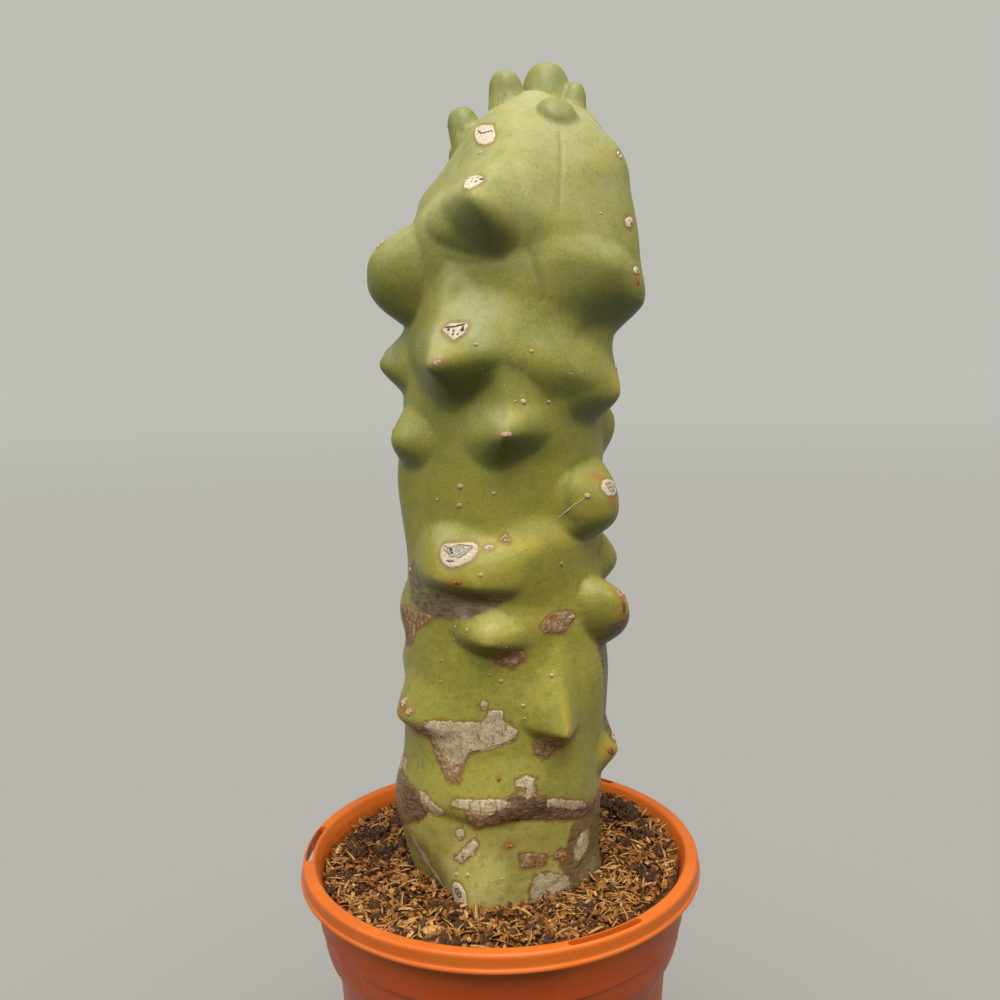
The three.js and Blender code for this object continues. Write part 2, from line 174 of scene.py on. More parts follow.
# Noses, brows and knobs: azimuth, height, reach to the left, right, up and down, how far it stands
# out, how far its tip hangs, point (1 sharp, 2.5 round) and skirt (1 a firm edge, 2 a soft one)
NOSES = [
    # front left rib
    (-16.5, 216, 13, 12, 18, 14, 7, 2.5, 1.2, 1.2),
    (-13, 217, 19, 19, 30, 16, 3.6, 0.5, 2, 1.6),
    (-20.5, 211, 15, 13, 14, 11, 3.2, 0, 2.4, 0.85),
    (-30.5, 173, 17, 17, 24, 18, 10.5, 4.2, 1.15, 1.4),
    (-8, 171, 20, 30, 20, 16, 6, 1.5, 1.7, 1.6),
    (-26, 103.5, 22, 21, 18, 8.5, 8, 1.5, 1.8, 1.4),
    (10, 110, 22, 27, 13, 24, 4, 0, 1.8, 2),
    # front middle
    (0, 149.5, 13, 15, 19, 13, 8.5, 3, 1.2, 1.4),
    (14, 152, 16, 20, 17, 15, 2.4, 0.5, 1.8, 1.8),
    (-11.5, 84, 13, 13, 11, 8, 6.5, 1.5, 1.4, 1.3),
    (0, 88, 24, 22, 9, 11, 2.4, 0, 1.5, 2),
    (27, 54.5, 13, 11, 27, 8, 8, 1.5, 1.1, 1.3),
    (-5, 30, 34, 36, 14, 7, 2.2, 0.5, 2.4, 1.8),
    # left rib
    (-78, 200, 16.5, 16, 14, 17, 12.8, 0.5, 2.6, 1.25),
    (-52, 206, 18, 20, 16, 18, 3, 0, 2, 2),
    (-84, 169, 13, 13, 13, 12, 8, 0.5, 1.7, 1.6),
    (-80, 128, 20, 18, 22, 24, 2.2, 0, 2, 2),
    (-64, 144.5, 13, 14, 12, 11, 6.3, 0, 1.8, 1.5),
    (-66, 55, 15, 30, 16, 8, 5, 1, 1.5, 1.6),
    (-74, 25, 14, 16, 12, 22, 2, 0, 1.5, 2),
    (-105, 222, 14, 16, 16, 12, 3.5, 0.5, 1.5, 2),
    (-98, 88, 13, 13, 12, 12, 2.6, 0, 2, 1.6),
    (-106, 66, 14, 14, 14, 11, 3, 0, 1.5, 2),
    # right rib
    (66, 198, 32, 26, 27, 27, 8.3, 1.2, 2.2, 1.8),
    (72, 191, 16, 18, 17, 14, 3, 0.5, 1.5, 2),
    (36, 197, 24, 22, 10, 22, 3, 0.5, 1.6, 1.8),
    (60, 228, 20, 18, 27, 28, 5, 0, 2, 2),
    (62, 161.5, 20, 14, 20, 12, 7.2, 2, 1.6, 1.5),
    (34, 167, 18, 18, 18, 16, 4, 0.5, 1.5, 2),
    (97, 146, 11, 12, 10, 10, 4.5, 0, 2, 1.5),
    (57, 124, 17, 15, 15.5, 12.5, 8.8, 0.5, 2.5, 1.15),
    (92, 104, 12, 12, 11, 9, 5.5, 0, 2, 1.5),
    (65, 87, 12, 11.5, 11.5, 12, 10, 0, 2.6, 1.05),
    (60, 66, 22, 20, 20, 20, 1.6, 0, 1.5, 2),
    (76, 37.5, 10, 11, 12, 9, 5.5, 0.5, 1.4, 1.5),
    # foot of the stem: a rib at the front, a flat to its left and a spread at the right
    (-17, -4, 15, 18, 26, 24, 5, 0, 1.5, 1.6),
    (-56, -10, 20, 20, 26, 22, -4.5, 0, 2, 2),
    (62, -14, 20, 20, 18, 18, 4, 0, 2, 2),
    # fullness of the dome behind
    (128, 247, 22, 22, 16, 20, 7.5, 0, 2, 1.6),
    # back right rib
    (100, 214, 18, 18, 20, 13, 6, 1, 1.5, 2),
    (103, 182, 16, 16, 15, 13, 5, 0.5, 1.5, 2),
    (140, 222, 18, 18, 22, 13, 8, 2, 1.5, 2),
    (138, 192, 16, 18, 16, 12, 9, 2, 1.5, 2),
    (143, 160, 14, 14, 14, 13, 8.5, 0.5, 2.2, 1.2),
    (136, 126, 16, 14, 16, 11, 8.5, 1.5, 1.5, 2),
    (139, 88, 18, 20, 14, 9, 6.5, 1.5, 1.8, 1.6),
    (138, 52, 15, 15, 14, 10, 6, 1, 1.5, 2),
    (144, 20, 15, 15, 12, 12, 4, 0, 1.5, 2),
    # back rib
    (182, 206, 20, 20, 22, 14, 9.5, 2.5, 1.5, 2),
    (178, 172, 17, 19, 17, 13, 8.5, 2, 1.5, 2),
    (186, 138, 20, 18, 16, 12, 6.5, 2, 1.5, 2),
    (181, 107, 18, 17, 16, 10, 8.5, 1.5, 2, 1.4),
    (183, 70, 16, 18, 14, 11, 7, 1, 1.5, 2),
    (179, 33, 17, 17, 13, 10, 5, 0.5, 1.5, 2),
    # back left rib
    (-140, 218, 18, 18, 22, 14, 8, 2, 1.5, 2),
    (-136, 184, 14, 15, 14, 14, 9.5, 0.5, 2.2, 1.2),
    (-142, 152, 16, 16, 16, 12, 8.5, 1.5, 1.5, 2),
    (-138, 118, 18, 16, 16, 11, 7.5, 1, 1.5, 2),
    (-144, 83, 13, 14, 12, 12, 8.5, 0.5, 2.4, 1.1),
    (-138, 48, 16, 16, 14, 10, 6, 1, 1.5, 2),
    (-142, 16, 15, 15, 12, 12, 4, 0, 1.5, 2),
]

# Young lobes round the growing tip: the place of its top above the rim, its radius and length, and
# the azimuth and tilt of its axis
LOBES = [
    (20.5, 13, 268, 8.6, 14, 0, 0),
    (6, 0, 262.3, 5.8, 9, -60, 8),
    (30, 9, 260.8, 4.9, 12, 90, 8),
    (-8.6, 5, 252.4, 5.8, 10, -80, 14),
    (23.8, -15, 247.6, 7.4, 7, 26, 55),
    (3, 25, 248, 6.8, 8, 172, 35),
    (-9, 19, 243.5, 6.2, 8, -140, 35),
]

# Outlines of old cork, callus and stains on the skin, each point an azimuth and a height
MARKS = {
    "pale_cork": [
        [(-44, 54.5), (-40, 56), (-12, 57), (-10, 61), (-3, 61), (-2, 58), (5, 54), (4, 51.5),
         (-4, 49.5), (-19, 46.5), (-23, 43), (-30, 42), (-36, 44.5), (-41, 49)],
        [(-15, 62.5), (-13, 64), (-10.5, 63.5), (-11, 62), (-13.5, 61.5)],
        [(-28, 29), (-25, 32), (-8, 33), (2, 33), (4, 31), (-1, 29.5), (-8, 28.3), (-16, 29)],
        [(24, 31), (31, 30), (41, 27.5), (51, 25), (52, 22.8), (43, 23.8), (33, 26.5), (25, 28.5)],
        [(-54, 30), (-45, 30.5), (-41, 29), (-31, 26.5), (-32, 24.5), (-38, 24), (-48, 27)],
        [(5.5, 39), (10, 39.7), (16, 38.5), (15, 33), (11, 33.3), (11.5, 36), (7, 36.7)],
        [(-24, 20.5), (-20.5, 21.5), (-19, 19.5), (-21, 18), (-24, 18.3)],
        [(-25.5, 11), (-22.5, 13), (-14.5, 18), (-11.5, 17.5), (-13.5, 14.5), (-21, 10)],
        [(-82, 34.5), (-72, 37), (-67, 36), (-69, 32.5), (-79, 31)],
        [(-96, 24), (-110, 30), (-132, 27), (-148, 29), (-152, 23), (-130, 20), (-108, 22)],
        [(160, 58), (172, 62), (196, 60), (204, 54), (190, 50), (184, 42), (176, 47), (164, 51)],
    ],
    "brown_cork": [
        [(-58, 53), (-50, 53), (-43, 55.5), (-40, 50), (-38, 45.5), (-30, 43), (-22, 43.5), (-25, 36.5),
         (-32, 37), (-40, 43), (-46, 49), (-54, 51)],
        [(-20, 28.5), (-8, 28), (0, 27), (0, 24.5), (-7, 24), (-13, 21.5)],
        [(7, 36.5), (11, 37), (17, 35.5), (18, 32), (8, 32.5)],
        [(-89, 87), (-72, 89), (-48, 89.5), (-43.5, 88.5), (-48, 86.5), (-59, 83), (-63, 78), (-78, 75)],
        [(19, 88), (25, 91), (37, 90.5), (41, 89), (38, 87), (32, 84), (20, 85)],
        [(14, 50), (20, 53), (28, 52), (28, 47), (22, 44), (15, 46)],
        [(-6, 79), (2, 80.5), (9, 80), (10, 77), (2, 74.5), (-5, 76)],
        [(10, 13), (17, 12.5), (24, 11), (23, 7.5), (10, 8)],
        [(28, 10), (34, 11.5), (39.5, 8.5), (34, 6.5)],
        [(80, 20), (104, 28), (128, 26), (141, 29), (158, 24), (150, 18), (126, 20), (100, 14)],
        [(120, 80), (134, 84), (148, 81), (146, 75), (130, 73)],
        [(-156, 76), (-140, 80), (-124, 77), (-128, 70), (-148, 69)],
    ],
    "dark_cork": [
        [(0, 33), (4, 34), (12, 33.5), (23, 32), (25, 29), (34, 26.8), (52, 23.5), (66, 22.5), (62, 18.5),
         (46, 19.5), (30, 22.5), (14, 24.5), (0, 25.5), (-9, 26.5), (-6, 28.5), (0, 30)],
        [(-66, 29), (-56, 30), (-50, 27), (-42, 24.5), (-46, 21), (-56, 18), (-64, 21)],
    ],
    "callus": [
        [(14, 1), (17, 4), (24, 5), (30, 3), (37, 1.5), (41, -3), (38, -8), (13, -7)],
        [(42, 8), (46, 12.5), (52, 14.5), (57, 13), (58, 8), (52, 5), (45, 4)],
        [(-62, 14), (-56, 12), (-44, -2), (-36, -8), (-44, -8), (-58, 0)],
        [(150, 4), (166, 8), (188, 6), (200, 0), (190, -8), (160, -8)],
    ],
    "stain": [
        [(-75, 102), (-62, 106), (-56, 104), (-55, 98), (-50, 96), (-31, 98), (-16, 100), (3, 98.5),
         (3, 97), (-6, 94.5), (-20, 91), (-34, 89), (-52, 88), (-69, 93)],
        [(-102, 26), (-88, 33), (-60, 31), (-44, 27), (-50, 20), (-66, 14), (-86, 10), (-98, 17)],
        [(56, 84), (70, 87), (84, 82), (93, 71), (97, 58), (90, 47), (83, 37), (74, 43), (64, 60)],
        [(38, 12), (42, 18), (52, 22), (72, 24), (92, 26), (106, 21), (112, 8), (108, -9), (33, -9),
         (38, 0), (33, 6)],
        [(-124, 8), (-108, 14), (-92, 10), (-90, -6), (-120, -8)],
    ],
}

# Thin creases where the ribs met while the stem was young
SEAMS = [
    [(17.5, 238.5), (17.5, 232.5), (19.5, 219.5), (19, 214)],
    [(7, 202.5), (10, 197), (13.5, 192.5), (15, 188)],
    [(-33, 200.5), (-27, 199.5), (-19.5, 199), (-11.5, 199), (-4.5, 199.5)],
    [(40, 135.5), (32, 130), (32.5, 122), (40, 117), (54, 115)],
    [(-115, 236), (-118, 222), (-113, 208)],
    [(158, 238), (160, 222), (157, 208)],
    [(-160, 236), (-162, 220), (-158, 206)],
    [(118, 150), (121, 138), (117, 128)],
]

# Flushes of yellow along crests, of rust round the tips and of chalky wax, where the chalky spots near
# # a height of 205 on the right shoulder are painted light along its lit top: azimuth, height, reach
# # across and upright, strength
FLUSHES = {
    "chalk": [
        (-36, 117, 10, 7, 1), (24, 204, 14, 4, 0.9), (-20, 190, 9, 6, 0.8), (-60, 62, 8, 5, 0.6),
        (-50, 208, 9, 7, 0.8), (40, 205, 15, 5, 1), (50, 134, 7, 4, 0.5), (182, 214, 10, 7, 0.6),
        (-140, 190, 9, 6, 0.5),
    ],
    "yellow": [
        (-25, 177, 6, 4, 0.5), (4, 155, 5, 4, 0.5), (12, 157, 8, 3, 0.3),
        (60, 165, 6, 5, 0.8), (4, 114, 15, 3, 0.7), (-15, 105, 9, 3, 0.4), (27, 60, 2.2, 9, 0.9),
        (56, 131, 6, 4, 0.6), (-10, 87, 9, 3, 0.2), (22, 72, 8, 5, 0.3), (72, 39, 4, 4, 0.9),
        (46, 193, 12, 4, 0.3), (182, 211, 9, 5, 0.7), (140, 197, 8, 4, 0.7),
        (-140, 122, 8, 4, 0.7), (136, 131, 8, 4, 0.7), (178, 176, 8, 4, 0.7), (186, 142, 8, 4, 0.6),
        (-142, 156, 8, 4, 0.7), (139, 91, 8, 3, 0.7), (181, 111, 8, 4, 0.7), (-20, 0, 5, 9, 0.5),
    ],
    "rust": [
        (60.5, 92, 3, 5, 1), (61, 87, 3, 4, 0.9), (-21.5, 104, 4, 1.6, 1), (54.5, 126, 3, 2.4, 0.9),
        (51, 133.5, 4, 2, 0.8), (24, 47.5, 4, 2.4, 0.9), (27, 55, 1.6, 1.6, 1), (72, 37.5, 3, 2.5, 1),
        (-59, 57, 5, 2, 0.9), (60, 195, 2.2, 2, 1), (4, 16, 3, 2.2, 0.8), (-3, 39, 1.3, 1.2, 1),
        (-28, 173.5, 3, 2, 0.5), (0, 151, 3, 1.8, 0.5), (-24.5, 110, 3, 1.2, 0.7), (2, 77, 5, 2, 0.7),
        (182, 205, 4, 2, 0.8), (143, 159, 4, 3, 0.8), (181, 104, 5, 2, 0.9), (139, 86, 5, 2, 0.9),
        (-144, 82, 4, 3, 0.9), (-138, 46, 4, 2, 0.8), (183, 68, 4, 2, 0.8), (-84, 168, 3, 3, 0.6),
    ],
}

# Areoles with an outline of their own. Strokes and dots are the dark marks in the felt, the inner
# outline is a dark line round its middle, and a dot is an azimuth, a height and a radius.
AREOLES = [
    {"outline": [(-57, 242.8), (-50, 243.6), (-35, 242.6), (-28, 238.5), (-27, 235.6),
                 (-33, 234.8), (-42, 236.4), (-50, 239.5)],
     "strokes": [[(-49, 241.3), (-43, 240), (-32.5, 240)]], "blush": 0.35},
    {"outline": [(-28.5, 221.5), (-26.5, 222.5), (-23, 223), (-18.5, 222), (-16, 220), (-17.5, 217.8),
                 (-20.5, 216.8), (-25, 217.6)],
     "dots": [(-26.5, 221.3, 0.3), (-23, 221, 0.25), (-20.5, 221.3, 0.3), (-18, 220.6, 0.55),
              (-19.5, 219.6, 0.35), (-22, 219.8, 0.25)], "blush": 0.25},
    {"outline": [(-29.5, 182), (-26.5, 183.5), (-19, 183), (-17.5, 182), (-18.5, 180), (-22.5, 178.5),
                 (-26.5, 180.5)],
     "strokes": [[(-27.5, 182.4), (-23.5, 182.3), (-19.5, 182.6)], [(-20, 182), (-19.5, 181)]],
     "dots": [(-26, 181.7, 0.35), (-23.5, 181.2, 0.3), (-20, 181.2, 0.45), (-23.5, 180.4, 0.3),
              (-21.5, 180.3, 0.25)], "blush": 0.3},
    {"outline": [(-33.5, 113), (-32, 114.5), (-24, 115), (-16, 115), (-13, 114), (-12.5, 112),
                 (-15, 110), (-20, 108.5), (-25, 108), (-30, 109), (-33, 111)],
     "inner": [(-31, 114), (-28, 113.3), (-22.5, 114.3), (-15.5, 113.7), (-18, 112), (-21, 111),
               (-26, 111.3), (-28, 112.3), (-31.5, 113)],
     "strokes": [[(-27.5, 110.2), (-26, 110), (-24, 110.1)]],
     "dots": [(-26.5, 113, 0.4), (-25.5, 112.2, 0.35), (-22, 112.6, 0.2)], "blush": 0.5},
    {"outline": [(-11, 113.2), (-9, 114), (-6.5, 113.8), (-5, 113.2), (-7, 112.5), (-9.5, 112.5)],
     "strokes": [[(-9, 113.2), (-6.5, 113.2)]], "stroke": 0.06, "blush": 0},
    {"outline": [(-3.5, 115), (-1.5, 116.3), (0.5, 117), (1.5, 115.6), (2.5, 114.4), (-0.5, 114.2)],
     "strokes": [[(-1.5, 115.2), (0, 116.1), (1, 115)]], "stroke": 0.1, "blush": 1},
    {"outline": [(48, 130), (52, 132.3), (57.5, 132.6), (62.5, 131.5), (61.5, 128), (56, 127), (50.5, 127.5)],
     "inner": [(52.5, 131), (57.5, 131.3), (60, 130), (58, 128.6), (54, 128.8)],
     "dots": [(56, 130, 0.35)], "blush": 0.4},
    {"outline": [(-29.5, 1.5), (-26.5, 3.5), (-22.5, 3.7), (-19.5, 1.6), (-19, -1.6), (-21, -5),
                 (-21.5, -9), (-25, -9), (-27.5, -6), (-31, -4.5), (-30.5, -1.5)],
     "ring": (-24.5, 0.2, 1.35), "dots": [(-24.5, 0.2, 0.45)], "blush": 0},
]

# Areoles above the other noses: azimuth, height, width and height of the pad
SMALL_AREOLES = [
    (-71.5, 206.4, 3.4, 2.6), (55, 231.4, 3.6, 2.6), (58.4, 212, 4.6, 3.4), (59.4, 198.6, 4.2, 3),
    (-62.9, 59, 3.4, 3), (-88, 174, 4, 3), (-68, 148.6, 3.2, 2.6), (66, 169, 3.4, 2.4),
    (96, 151, 3.4, 2.6), (94, 109, 3.6, 2.8), (68, 92.6, 3.2, 2.4), (78, 42, 3.4, 2.6),
    (100, 220, 5, 4), (140, 229, 5.4, 4.2), (138, 199, 5, 4), (143, 166, 4.6, 4), (136, 132, 5.4, 4),
    (139, 94, 5.6, 4.4), (138, 58, 4.6, 3.6), (182, 214, 5.8, 4.4), (178, 179, 5, 4),
    (186, 145, 5.6, 4.2), (181, 113.5, 5, 4.2), (183, 76, 4.6, 4), (179, 38, 4.2, 3.4),
    (-140, 226, 5.4, 4.2), (-136, 190, 4.8, 4), (-142, 159, 5.2, 4.2), (-138, 125, 5.6, 4.2),
    (-144, 89, 4.8, 4), (-138, 54, 4.8, 3.8), (-105, 228, 4.6, 3.6), (-98, 94, 3.8, 3),
    (-106, 72, 3.8, 3), (103, 188, 4.4, 3.4),
]

# Scabs on the tips: azimuth, height, width, height of the scab and how brown it is
SCABS = [
    (-28, 174, 3, 3.2, 0.25), (0, 151.2, 3.6, 2, 0.2), (-21, 104, 3, 1.3, 0.7), (60.5, 93.6, 2.6, 2.6, 0.3),
    (61, 89.4, 3, 4.2, 0.85), (-55.5, 57, 3.4, 2.4, 0.1), (-61.5, 59.6, 3, 2.6, 0.15),
    (27, 55, 1.6, 1.4, 0.7), (24.5, 47.5, 3.4, 2, 0.7), (72, 38, 2.4, 2.6, 0.8),
    (60, 195.4, 1.8, 2.2, 0.8), (4, 16, 2.6, 1.8, 0.5),
    (34, 9, 4, 2.4, 0.6), (38, 88.6, 4.4, 1.4, 0.1), (-3, 39, 1.3, 1.2, 0.8), (178, 170, 3, 2.4, 0.6),
    (138, 190, 3, 2.4, 0.6), (-140, 216, 3, 2.4, 0.5), (136, 124.5, 3.4, 2, 0.8), (-138, 116.6, 3.4, 2, 0.7),
    (181, 105, 3.6, 2, 0.8), (139, 86, 4, 2, 0.9), (-144, 83, 3.2, 3, 0.9), (183, 68.5, 3, 2, 0.8),
    (-138, 46.6, 3, 2, 0.8),
]

# Small raised dots: azimuth, height, width and pinkness
SKIN_DOTS = [
    (-51.5, 175.5, 0.8, 0.2), (-13, 177, 1.4, 0), (12.5, 173.5, 1.4, 0), (4.5, 159.5, 0.9, 0),
    (8.5, 159, 2.1, 0.3), (22, 157.5, 1.4, 0.1), (-24, 131.5, 2.3, 0.6), (-25, 125.5, 2.1, 0.8),
    (-5.5, 129.5, 1.4, 0.1), (-39.5, 127, 1.3, 0.2), (40, 128, 2.2, 0.3), (3, 110.5, 0.8, 0),
    (31.5, 106.5, 1.4, 0.1), (-10.5, 106, 1.8, 0.1), (-72, 101.5, 2.2, 0.4), (-27.5, 87.5, 1.4, 0),
    (-20, 88, 2, 0.1), (-3.5, 89, 1.4, 0),
    (-28.5, 83, 1.3, 0), (-37, 75.5, 1.3, 0), (-38, 68.5, 0.9, 0), (-3.5, 70.5, 1.4, 0.2), (-9, 72.5, 0.9, 0),
    (3, 77.5, 0.9, 0.1), (1, 83, 0.9, 0), (5.5, 79, 1.4, 0), (7.5, 62.5, 1.4, 0.1), (8, 58.5, 0.9, 0),
    (22.5, 72, 1.5, 0.3), (-25, 6, 1.8, 0.2), (-18, 7, 1.7, 0.2), (0, 5.5, 1.3, 0.1), (41, 214, 1.3, 0),
    (-34, 232.5, 1.5, 0), (-22.5, 184, 0.9, 0), (10.5, 112.5, 0.9, 0),
]

# Scratches in the skin, now healed pale
SCRATCHES = [
    [(39.5, 128), (38, 127), (36, 126), (34.5, 125.3), (32.5, 123.5), (30.5, 121.5), (29, 120)],
    [(28.5, 168), (29, 167), (30.5, 166.5), (32, 166.7), (33.5, 166)],
    [(33, 168.5), (35.5, 168), (38, 166.5)],
]

# Clods of peat: place, width and how far it stands out of the compost. The chip of wood is a place
# and a width.
CLODS = [
    (-46, 16, 11, 5), (-38, 26, 9, 5), (-51, 4, 8, 3.5), (-42, 6, 12, 4), (-31, 34, 9, 4),
    (-53, -14, 9, 3.5), (-14, -57, 9, 3), (-23, -54, 7, 2.5), (47, 22, 12, 6), (40, 33, 10, 5),
    (53, 6, 9, 4), (35, 44, 11, 5), (49, -22, 9, 3.5), (10, -46, 7, 2), (26, -41, 7, 2.5),
    (-6, 53, 10, 4), (14, 52, 9, 4), (-22, 46, 10, 4), (55, -7, 7, 3), (-30, -44, 6, 2),
]
WOOD_CHIP = (-21.5, -48.5, 6)

# Camera's tilt down, its roll and its turn to the right, in degrees
CAMERA_PITCH = 7.56
CAMERA_ROLL = -1.12
CAMERA_YAW = 0.39

# Softboxes: place in metres, width in metres, power in watts and colour. Then the point in metres that
# they face, and the width in degrees of the sky that lights the floor.
SOFTBOXES = {
    "overhead": ((0.12, -0.3, 1.6), 1.1, 11.4, "fff9f0"),
    "front": ((0.02, -1.0, 1.7), 1.3, 23.0, "fffaf2"),
    "left": ((-0.9, -0.35, 0.8), 0.7, 3.6, "fffdf8"),
    "right": ((0.9, -0.35, 0.8), 0.7, 2.2, "fffaf2"),
    "low_front": ((0, -1.2, 0.3), 0.8, 0.9, "fffaf4"),
}
LIGHT_TARGET = (0, 0, 0.25)
SKY_ANGLE = 70


def colour(code):
    """Linear RGBA of an sRGB hex colour."""
    shares = [int(code[i : i + 2], 16) / 255 for i in (0, 2, 4)]
    linear = [c / 12.92 if c <= 0.04045 else ((c + 0.055) / 1.055) ** 2.4 for c in shares]
    return (*linear, 1.0)


def per_mm(size):
    """Scale of a texture in metres whose features are size millimetres wide."""
    return 1 / (size * MM)


def add(tree, kind, inputs=None, output=0, **settings):
    """Adds a node, sets it up, sets or links its inputs, and gives one of its outputs."""
    node = tree.nodes.new(kind)
    for name, value in settings.items():
        setattr(node, name, value)
    for name, value in (inputs or {}).items():
        if isinstance(value, bpy.types.NodeSocket):
            tree.links.new(value, node.inputs[name])
        else:
            node.inputs[name].default_value = value
    return node.outputs[output] if node.outputs else node


def layered(tree, place, base, layers):
    """A colour with others laid over it. A layer is the attribute that says where it lies, or nothing
    for patches all over, the size of its patches, how ragged they make its edge, the values between
    which it rises to its full strength, that strength, and its colour."""
    result = base if isinstance(base, bpy.types.NodeSocket) else colour(base)
    for name, size, ragged, low, high, strength, tint in layers:
        value = add(tree, "ShaderNodeTexNoise", {"Vector": place, "Scale": per_mm(size), "Detail": 4.0})
        value = add(tree, "ShaderNodeMath", {0: value, 1: ragged, 2: -0.5 * ragged}, operation="MULTIPLY_ADD")
        if name:
            where = add(tree, "ShaderNodeAttribute", output="Fac", attribute_name=name)
            value = add(tree, "ShaderNodeMath", {0: where, 1: value}, operation="ADD")
        limits = {0: value, 1: low, 2: high, 4: strength}
        mask = add(tree, "ShaderNodeMapRange", limits, interpolation_type="SMOOTHSTEP")
        over = tint if isinstance(tint, bpy.types.NodeSocket) else colour(tint)
        result = add(tree, "ShaderNodeMix", {0: mask, 6: result, 7: over}, 2, data_type="RGBA")
    return result


def rough_relief(tree, place, waves):
    """Height in millimetres as a sum of waves, each the attribute that says where it is, or nothing
    for all over, the size of its bumps and their height."""
    total = None
    for name, size, height in waves:
        value = add(tree, "ShaderNodeTexNoise", {"Vector": place, "Scale": per_mm(size), "Detail": 4.0})
        if name:
            where = add(tree, "ShaderNodeAttribute", output="Fac", attribute_name=name)
            height = add(tree, "ShaderNodeMapRange", {0: where, 1: 0.0, 2: 0.5, 4: height})
        value = add(tree, "ShaderNodeMath", {0: value, 1: height}, operation="MULTIPLY")
        total = value if total is None else add(tree, "ShaderNodeMath", {0: total, 1: value}, operation="ADD")
    return total


def new_material(name):
    """Material of that name, its empty node tree, and the place on the object that patterns follow."""
    material = bpy.data.materials.new(name)
    material.use_nodes = True
    tree = material.node_tree
    tree.nodes.clear()
    return material, tree, add(tree, "ShaderNodeTexCoord", output="Object")


def surface(tree, base, roughness, relief=None, ior=1.45):
    """The shader that ends a material's tree, with its relief in millimetres."""
    inputs = {"Base Color": base, "Roughness": roughness, "IOR": ior}
    if relief is not None:
        inputs["Normal"] = add(tree, "ShaderNodeBump", {"Height": relief, "Distance": MM, "Strength": 1.0})
    add(tree, "ShaderNodeOutputMaterial", {"Surface": add(tree, "ShaderNodeBsdfPrincipled", inputs)})


def plain_material(name, base, layers, roughness, waves, ior=1.45):
    """Material of layered colours with one roughness and its relief."""
    material, tree, place = new_material(name)
    surface(tree, layered(tree, place, base, layers), roughness, rough_relief(tree, place, waves), ior)
    return material


def mesh_object(name, points, faces, material=None, smooth=True):
    """Object at the origin from points in millimetres."""
    mesh = bpy.data.meshes.new(name)
    mesh.from_pydata((np.asarray(points, float) * MM).tolist(), [], [tuple(f) for f in faces])
    mesh.polygons.foreach_set("use_smooth", [smooth] * len(mesh.polygons))
    piece = bpy.data.objects.new(name, mesh)
    bpy.context.scene.collection.objects.link(piece)
    if material is not None:
        mesh.materials.append(material)
    return piece


def store(piece, values):
    """Keeps numbers, or vectors, for each point of a piece under their names."""
    for name, value in values.items():
        value = np.asarray(value, np.float32)
        kind, field = ("FLOAT_VECTOR", "vector") if value.ndim == 2 else ("FLOAT", "value")
        layer = piece.data.attributes.new(name, kind, "POINT")
        layer.data.foreach_set(field, value.ravel())


def baked(piece):
    """The piece with its modifiers worked into a plain mesh."""
    bpy.context.view_layer.update()
    graph = bpy.context.evaluated_depsgraph_get()
    mesh = bpy.data.meshes.new_from_object(piece.evaluated_get(graph))
    piece.modifiers.clear()
    old = piece.data
    piece.data = mesh
    bpy.data.meshes.remove(old)
    mesh.name = piece.name
    return piece


def dismiss(pieces):
    """Removes helper objects with their meshes."""
    for piece in pieces:
        mesh = piece.data
        bpy.data.objects.remove(piece)
        bpy.data.meshes.remove(mesh)


def settle(piece, node=None):
    """Fixes a finished piece to the part."""
    if node:
        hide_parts(node)
    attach(piece, "root")


def rows_to_faces(rows, count, closed=True):
    """Quads between rows of count points, each row closed on itself or open."""
    index = np.arange(rows * count).reshape(rows, count)
    if closed:
        index = np.hstack([index, index[:, :1]])
    quads = np.stack([index[:-1, :-1], index[:-1, 1:], index[1:, 1:], index[1:, :-1]], -1)
    return quads.reshape(-1, 4).tolist()


def cap(row, centre, upward):
    """Triangles from a closed row of points to one in its middle."""
    pairs = zip(row, np.roll(row, -1))
    return [(a, b, centre) if upward else (b, a, centre) for a, b in pairs]


def closed_rows(rows, first, last):
    """Points and faces of closed rows of points, with one more point in the middle of each end."""
    sides = len(rows[0])
    count = len(rows) * sides
    ends = cap(np.arange(sides), count, False) + cap(np.arange(count - sides, count), count + 1, True)
    return np.vstack([*rows, [first], [last]]), rows_to_faces(len(rows), sides) + ends


def eased(profile, reach, steps=3):
    """Profile with its corners rounded over reach, its ends kept."""
    points = [np.array(p, float) for p in profile]
    result = [points[0]]
    for before, here, after in zip(points, points[1:], points[2:]):
        start, end = before - here, after - here
        start = here + start * min(reach / np.linalg.norm(start), 0.45)
        end = here + end * min(reach / np.linalg.norm(end), 0.45)
        for t in np.linspace(0, 1, steps + 1):
            result.append((1 - t) ** 2 * start + 2 * t * (1 - t) * here + t * t * end)
    return result + [points[-1]]


def plain_sizes(height):
    """Radius and middle along X of the plain stem at heights above the rim."""
    x = STATIONS[:, 0]
    height = np.clip(height, x[0], x[-1])
    i = np.clip(np.searchsorted(x, height) - 1, 0, len(x) - 2)
    span = x[i + 1] - x[i]
    t = (height - x[i]) / span
    sizes = []
    for y in STATIONS.T[1:]:
        slope = np.empty_like(y)
        slope[1:-1] = (y[2:] - y[:-2]) / (x[2:] - x[:-2])
        slope[0] = (y[1] - y[0]) / (x[1] - x[0])
        slope[-1] = (y[-1] - y[-2]) / (x[-1] - x[-2])
        sizes.append(
            (2 * t**3 - 3 * t**2 + 1) * y[i] + (t**3 - 2 * t**2 + t) * span * slope[i]
            + (3 * t**2 - 2 * t**3) * y[i + 1] + (t**3 - t**2) * span * slope[i + 1]
        )
    return sizes


